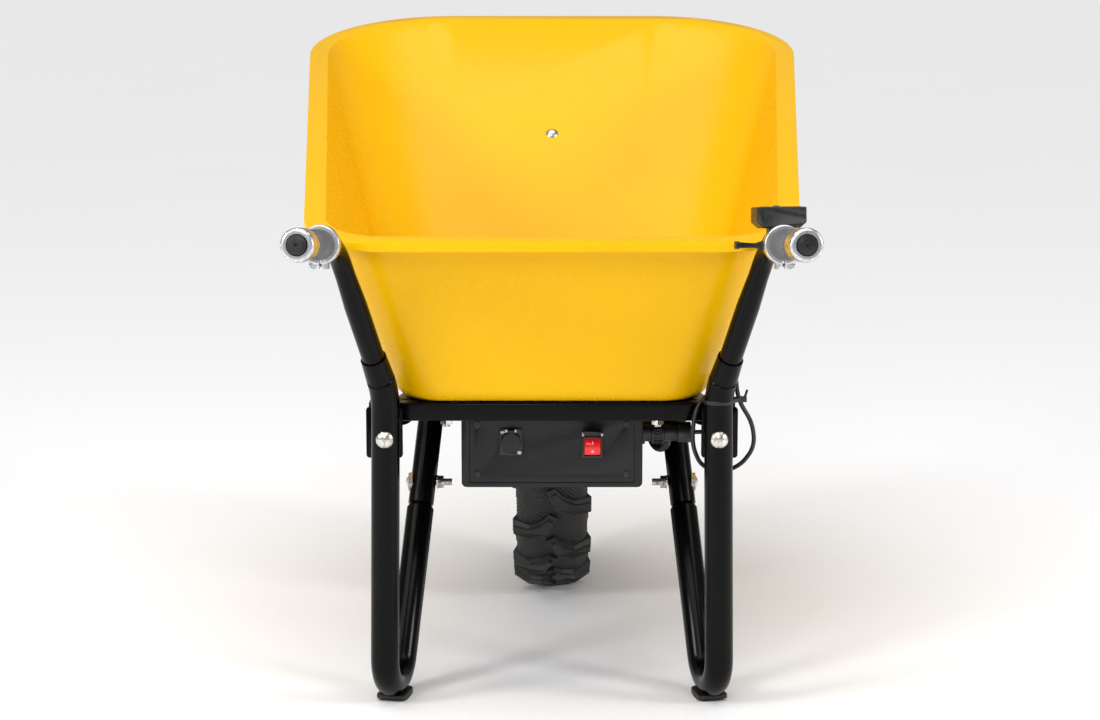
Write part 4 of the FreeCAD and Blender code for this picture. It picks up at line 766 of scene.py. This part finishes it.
class BarrowLeads(bpy.types.PropertyGroup):
    coil_radius: length("Coil radius", "Outer radius of the curly lead", 0.0063)
    coil_pitch: length("Coil pitch", "Distance from turn to turn", 0.0037)
    strand_radius: length("Strand radius", "Radius of the lead's strand", 0.0017)


class BarrowRounding(bpy.types.PropertyGroup):
    tub: length("Tub", "Rounding of the tub's edges", 0.0012)
    sheet: length("Sheet steel", "Rounding of bent and cut sheet edges", 0.0007)
    moulding: length("Moulding", "Rounding of small moulded parts", 0.0004)


class BarrowStage(bpy.types.PropertyGroup):
    camera_back: length("Camera distance", "How far behind the origin the camera stands", 3.055)
    camera_height: length("Camera height", "Height of the camera over the floor", 0.8635)
    camera_pitch: bpy.props.FloatProperty(name="Camera pitch", description="How far down the camera looks",
                                          default=math.radians(9.4), subtype="ANGLE")
    lens: bpy.props.FloatProperty(name="Lens", description="Focal length in millimetres", default=83.39)
    floor_size: length("Floor", "Side of the square floor", 160.0)
    ceiling: bpy.props.FloatProperty(name="Ceiling light",
                                     description="Strength of the even light from above",
                                     default=2.2, min=0.0)


# ---------------------------------------------------------------- operators
class BARROW_OT_finishes(bpy.types.Operator):
    """Makes every finish in the chosen colours"""
    bl_idname = "barrow.finishes"
    bl_label = "Finishes"

    def execute(self, context):
        FINISHES.update(make_finishes(context.scene.barrow_colours))
        return {"FINISHED"}


class BARROW_OT_tub(bpy.types.Operator):
    """Builds the moulded tub and its bolts"""
    bl_idname = "barrow.tub"
    bl_label = "Tub"

    def execute(self, context):
        edges = context.scene.barrow_rounding
        finished_copy("tub", "tub_shell", "moulded_polypropylene", edges.tub / MM, 3, 30.0)
        painted("tub_bolts", "zinc_plated_steel")
        return {"FINISHED"}


class BARROW_OT_frame(bpy.types.Operator):
    """Builds the crossbar, rails, legs, brace, axle plates and their fasteners"""
    bl_idname = "barrow.frame"
    bl_label = "Frame"

    def execute(self, context):
        sheet = context.scene.barrow_rounding.sheet / MM
        for node in ("rear_crossbar", "front_crossmember", "leg_plates", "axle_plates", "box_hangers"):
            finished_copy(node, node + "_coated", "powder_coated_tube", sheet)
        for node in ("rails", "leg_left", "leg_right", "leg_sleeves", "front_brace"):
            finished_copy(node, node + "_coated", "powder_coated_tube")
        finished_copy("foot_pads", "foot_pads_moulded", "moulded_neoprene", 2 * sheet)
        for node in ("leg_bolts", "sleeve_bolts"):
            finished_copy(node, node + "_plated", "zinc_plated_steel")
        return {"FINISHED"}


class BARROW_OT_handles(bpy.types.Operator):
    """Builds the two handles"""
    bl_idname = "barrow.handles"
    bl_label = "Handles"

    def execute(self, context):
        for node in ("handle_left", "handle_right"):
            finished_copy(node, node + "_coated", "powder_coated_tube")
        return {"FINISHED"}


class BARROW_OT_grips(bpy.types.Operator):
    """Builds the rubber grips with their rings, end caps and plugs"""
    bl_idname = "barrow.grips"
    bl_label = "Grips"

    def execute(self, context):
        for left in (False, True):
            build_grip(context.scene.barrow_grips, left)
        finished_copy("grip_rings", "grip_rings_cast", "tumbled_aluminium")
        finished_copy("grip_caps", "grip_caps_cast", "tumbled_aluminium")
        edge = context.scene.barrow_rounding.moulding / MM
        finished_copy("bar_plugs", "bar_plugs_moulded", "moulded_abs", edge)
        return {"FINISHED"}


class BARROW_OT_throttle(bpy.types.Operator):
    """Builds the thumb throttle with its display, button, lever and spring"""
    bl_idname = "barrow.throttle"
    bl_label = "Throttle"

    def execute(self, context):
        edge = context.scene.barrow_rounding.moulding / MM
        finished_copy("throttle_housing", "throttle_housing_moulded", "moulded_abs", edge)
        finished_copy("display_lens", "display_lens_clear", "acrylic_lens", edge)
        finished_copy("display_button", "display_button_moulded", "thermoplastic_rubber", edge)
        finished_copy("thumb_lever", "thumb_lever_moulded", "moulded_abs", edge)
        painted("throttle_spring", "turned_steel")
        return {"FINISHED"}


class BARROW_OT_battery_box(bpy.types.Operator):
    """Builds the battery box, its panel and what is inside"""
    bl_idname = "barrow.battery_box"
    bl_label = "Battery box"

    def execute(self, context):
        sheet = context.scene.barrow_rounding.sheet / MM
        finished_copy("box_body", "box_body_folded", "textured_powder_coat", sheet)
        finished_copy("box_rear_panel", "box_rear_panel_folded", "textured_powder_coat", sheet)
        painted("panel_screws", "black_oxide_steel")
        painted("batteries", "shrink_film")
        painted("controller", "cast_aluminium")
        return {"FINISHED"}


class BARROW_OT_socket(bpy.types.Operator):
    """Builds the charging socket with its screws and hinged cap"""
    bl_idname = "barrow.socket"
    bl_label = "Charging socket"

    def execute(self, context):
        edge = context.scene.barrow_rounding.moulding / MM
        finished_copy("charging_socket", "charging_socket_moulded", "moulded_abs", edge)
        finished_copy("socket_cap", "socket_cap_moulded", "moulded_neoprene", edge)
        painted("socket_screws", "zinc_plated_steel")
        painted("cap_hinge", "turned_steel")
        return {"FINISHED"}


class BARROW_OT_switch(bpy.types.Operator):
    """Builds the rocker switch with its marks, bezel and hood"""
    bl_idname = "barrow.switch"
    bl_label = "Switch"

    def execute(self, context):
        edge = context.scene.barrow_rounding.moulding / MM
        rocker_marks()
        finished_copy("switch_rocker", "switch_rocker_moulded", "tinted_polycarbonate", edge)
        finished_copy("switch_bezel", "switch_bezel_moulded", "moulded_abs", edge)
        finished_copy("switch_hood", "switch_hood_moulded", "moulded_abs", edge)
        painted("hood_hinge", "turned_steel")
        return {"FINISHED"}


class BARROW_OT_leads(bpy.types.Operator):
    """Builds the motor's plug and lead, the throttle's cable and its tie"""
    bl_idname = "barrow.leads"
    bl_label = "Plug and leads"

    def execute(self, context):
        edge = context.scene.barrow_rounding.moulding / MM
        build_coil(context.scene.barrow_leads)
        plug_ribs("plug_ring", RIBS, "plug_ring_ribs")
        for node in ("plug_receptacle", "plug_ring", "plug_body", "plug_nut", "coil_gland"):
            finished_copy(node, node + "_moulded", "moulded_abs", edge / 2)
        for node in ("throttle_cable", "motor_cable"):
            finished_copy(node, node + "_jacket", "pvc_jacket")
        painted("cable_tie", "moulded_abs")
        finished_copy("axle_end_cap", "axle_end_cap_moulded", "moulded_neoprene", edge)
        return {"FINISHED"}


class BARROW_OT_wheel(bpy.types.Operator):
    """Builds the tyre, the rim, the hub motor and the axle"""
    bl_idname = "barrow.wheel"
    bl_label = "Wheel"

    def execute(self, context):
        edge = context.scene.barrow_rounding.moulding / MM
        build_tyre(context.scene.barrow_tyre)
        finished_copy("wheel_rim", "wheel_rim_coated", "powder_coated_tube", edge)
        finished_copy("motor_covers", "motor_covers_cast", "cast_aluminium", edge)
        for node, finish in (("motor_shell", "cast_aluminium"), ("stator", "turned_steel"),
                             ("bearings", "turned_steel"), ("axle", "turned_steel"),
                             ("cover_screws", "black_oxide_steel"), ("axle_spacers", "zinc_plated_steel"),
                             ("axle_nuts", "zinc_plated_steel"), ("valve_stem", "moulded_neoprene")):
            painted(node, finish)
        return {"FINISHED"}


class BARROW_OT_stage(bpy.types.Operator):
    """Lays the floor and sets up the lights and the camera"""
    bl_idname = "barrow.stage"
    bl_label = "Stage"

    def execute(self, context):
        settings = context.scene.barrow_stage
        half = settings.floor_size / 2
        mesh = bpy.data.meshes.new("floor")
        corners = ((-half, -half), (half, -half), (half, half), (-half, half))
        mesh.from_pydata([(x, y, FLOOR_Z) for x, y in corners], [], [(0, 1, 2, 3)])
        new_object("floor", mesh, "studio_paint")
        for name, place, target, size, power in SOFTBOXES:
            lamp = bpy.data.lights.new(name, "AREA")
            lamp.size, lamp.energy = size, power
            light = bpy.data.objects.new(name, lamp)
            light.location = place
            light.rotation_euler = (Vector(target) - Vector(place)).to_track_quat("-Z", "Y").to_euler()
            context.scene.collection.objects.link(light)
        sky = bpy.data.lights.new("ceiling", "SUN")
        sky.energy, sky.angle = settings.ceiling, math.radians(CEILING_SPREAD)
        ceiling = bpy.data.objects.new("ceiling", sky)
        ceiling.rotation_euler = (*map(math.radians, CEILING_TILT), 0.0)
        context.scene.collection.objects.link(ceiling)
        world = bpy.data.worlds.new("studio")
        world.use_nodes = True
        world.node_tree.nodes.clear()
        glow = add(world.node_tree, "ShaderNodeBackground", Color=(1.0, 1.0, 1.0, 1.0), Strength=GLOW)
        add(world.node_tree, "ShaderNodeOutputWorld", Surface=glow.outputs[0])
        context.scene.world = world
        lens = bpy.data.cameras.new("camera")
        lens.lens, lens.sensor_width, lens.shift_x = settings.lens, SENSOR_WIDTH, LENS_SHIFT
        camera = bpy.data.objects.new("camera", lens)
        camera.location = (0.0, -settings.camera_back, settings.camera_height)
        camera.rotation_euler = (math.pi / 2 - settings.camera_pitch, 0.0, 0.0)
        context.scene.collection.objects.link(camera)
        context.scene.camera = camera
        context.scene.view_settings.view_transform = "Standard"
        return {"FINISHED"}


class BARROW_PT_panel(bpy.types.Panel):
    """The barrow's sizes and its build steps"""
    bl_label = "Power wheelbarrow"
    bl_space_type = "VIEW_3D"
    bl_region_type = "UI"
    bl_category = "Barrow"

    def draw(self, context):
        for name, (holder, _) in SETTINGS.items():
            section = self.layout.box()
            section.label(text=holder.__name__.replace("Barrow", ""))
            for key in holder.__annotations__:
                section.prop(getattr(context.scene, name), key)
        for step in STEPS:
            self.layout.operator(step.bl_idname)


SETTINGS = {
    "barrow_colours": (BarrowColours, "Colours of the barrow"),
    "barrow_tyre": (BarrowTyre, "Sizes of the tyre"),
    "barrow_grips": (BarrowGrips, "Sizes of the grips"),
    "barrow_leads": (BarrowLeads, "Sizes of the curly lead"),
    "barrow_rounding": (BarrowRounding, "How far edges are rounded"),
    "barrow_stage": (BarrowStage, "Floor and camera"),
}
STEPS = (BARROW_OT_finishes, BARROW_OT_tub, BARROW_OT_frame, BARROW_OT_handles, BARROW_OT_grips,
         BARROW_OT_throttle, BARROW_OT_battery_box, BARROW_OT_socket, BARROW_OT_switch, BARROW_OT_leads,
         BARROW_OT_wheel, BARROW_OT_stage)


def register():
    for name, (holder, text) in SETTINGS.items():
        bpy.utils.register_class(holder)
        setattr(bpy.types.Scene, name, bpy.props.PointerProperty(type=holder, description=text))
    for kind in STEPS + (BARROW_PT_panel,):
        bpy.utils.register_class(kind)


def unregister():
    for kind in reversed(STEPS + (BARROW_PT_panel,)):
        bpy.utils.unregister_class(kind)
    for name, (holder, _) in SETTINGS.items():
        delattr(bpy.types.Scene, name)
        bpy.utils.unregister_class(holder)


def main():
    """Registers the add-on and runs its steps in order."""
    register()
    for step in STEPS:
        group, name = step.bl_idname.split(".")
        getattr(getattr(bpy.ops, group), name)()


if __name__ == "__main__":
    main()
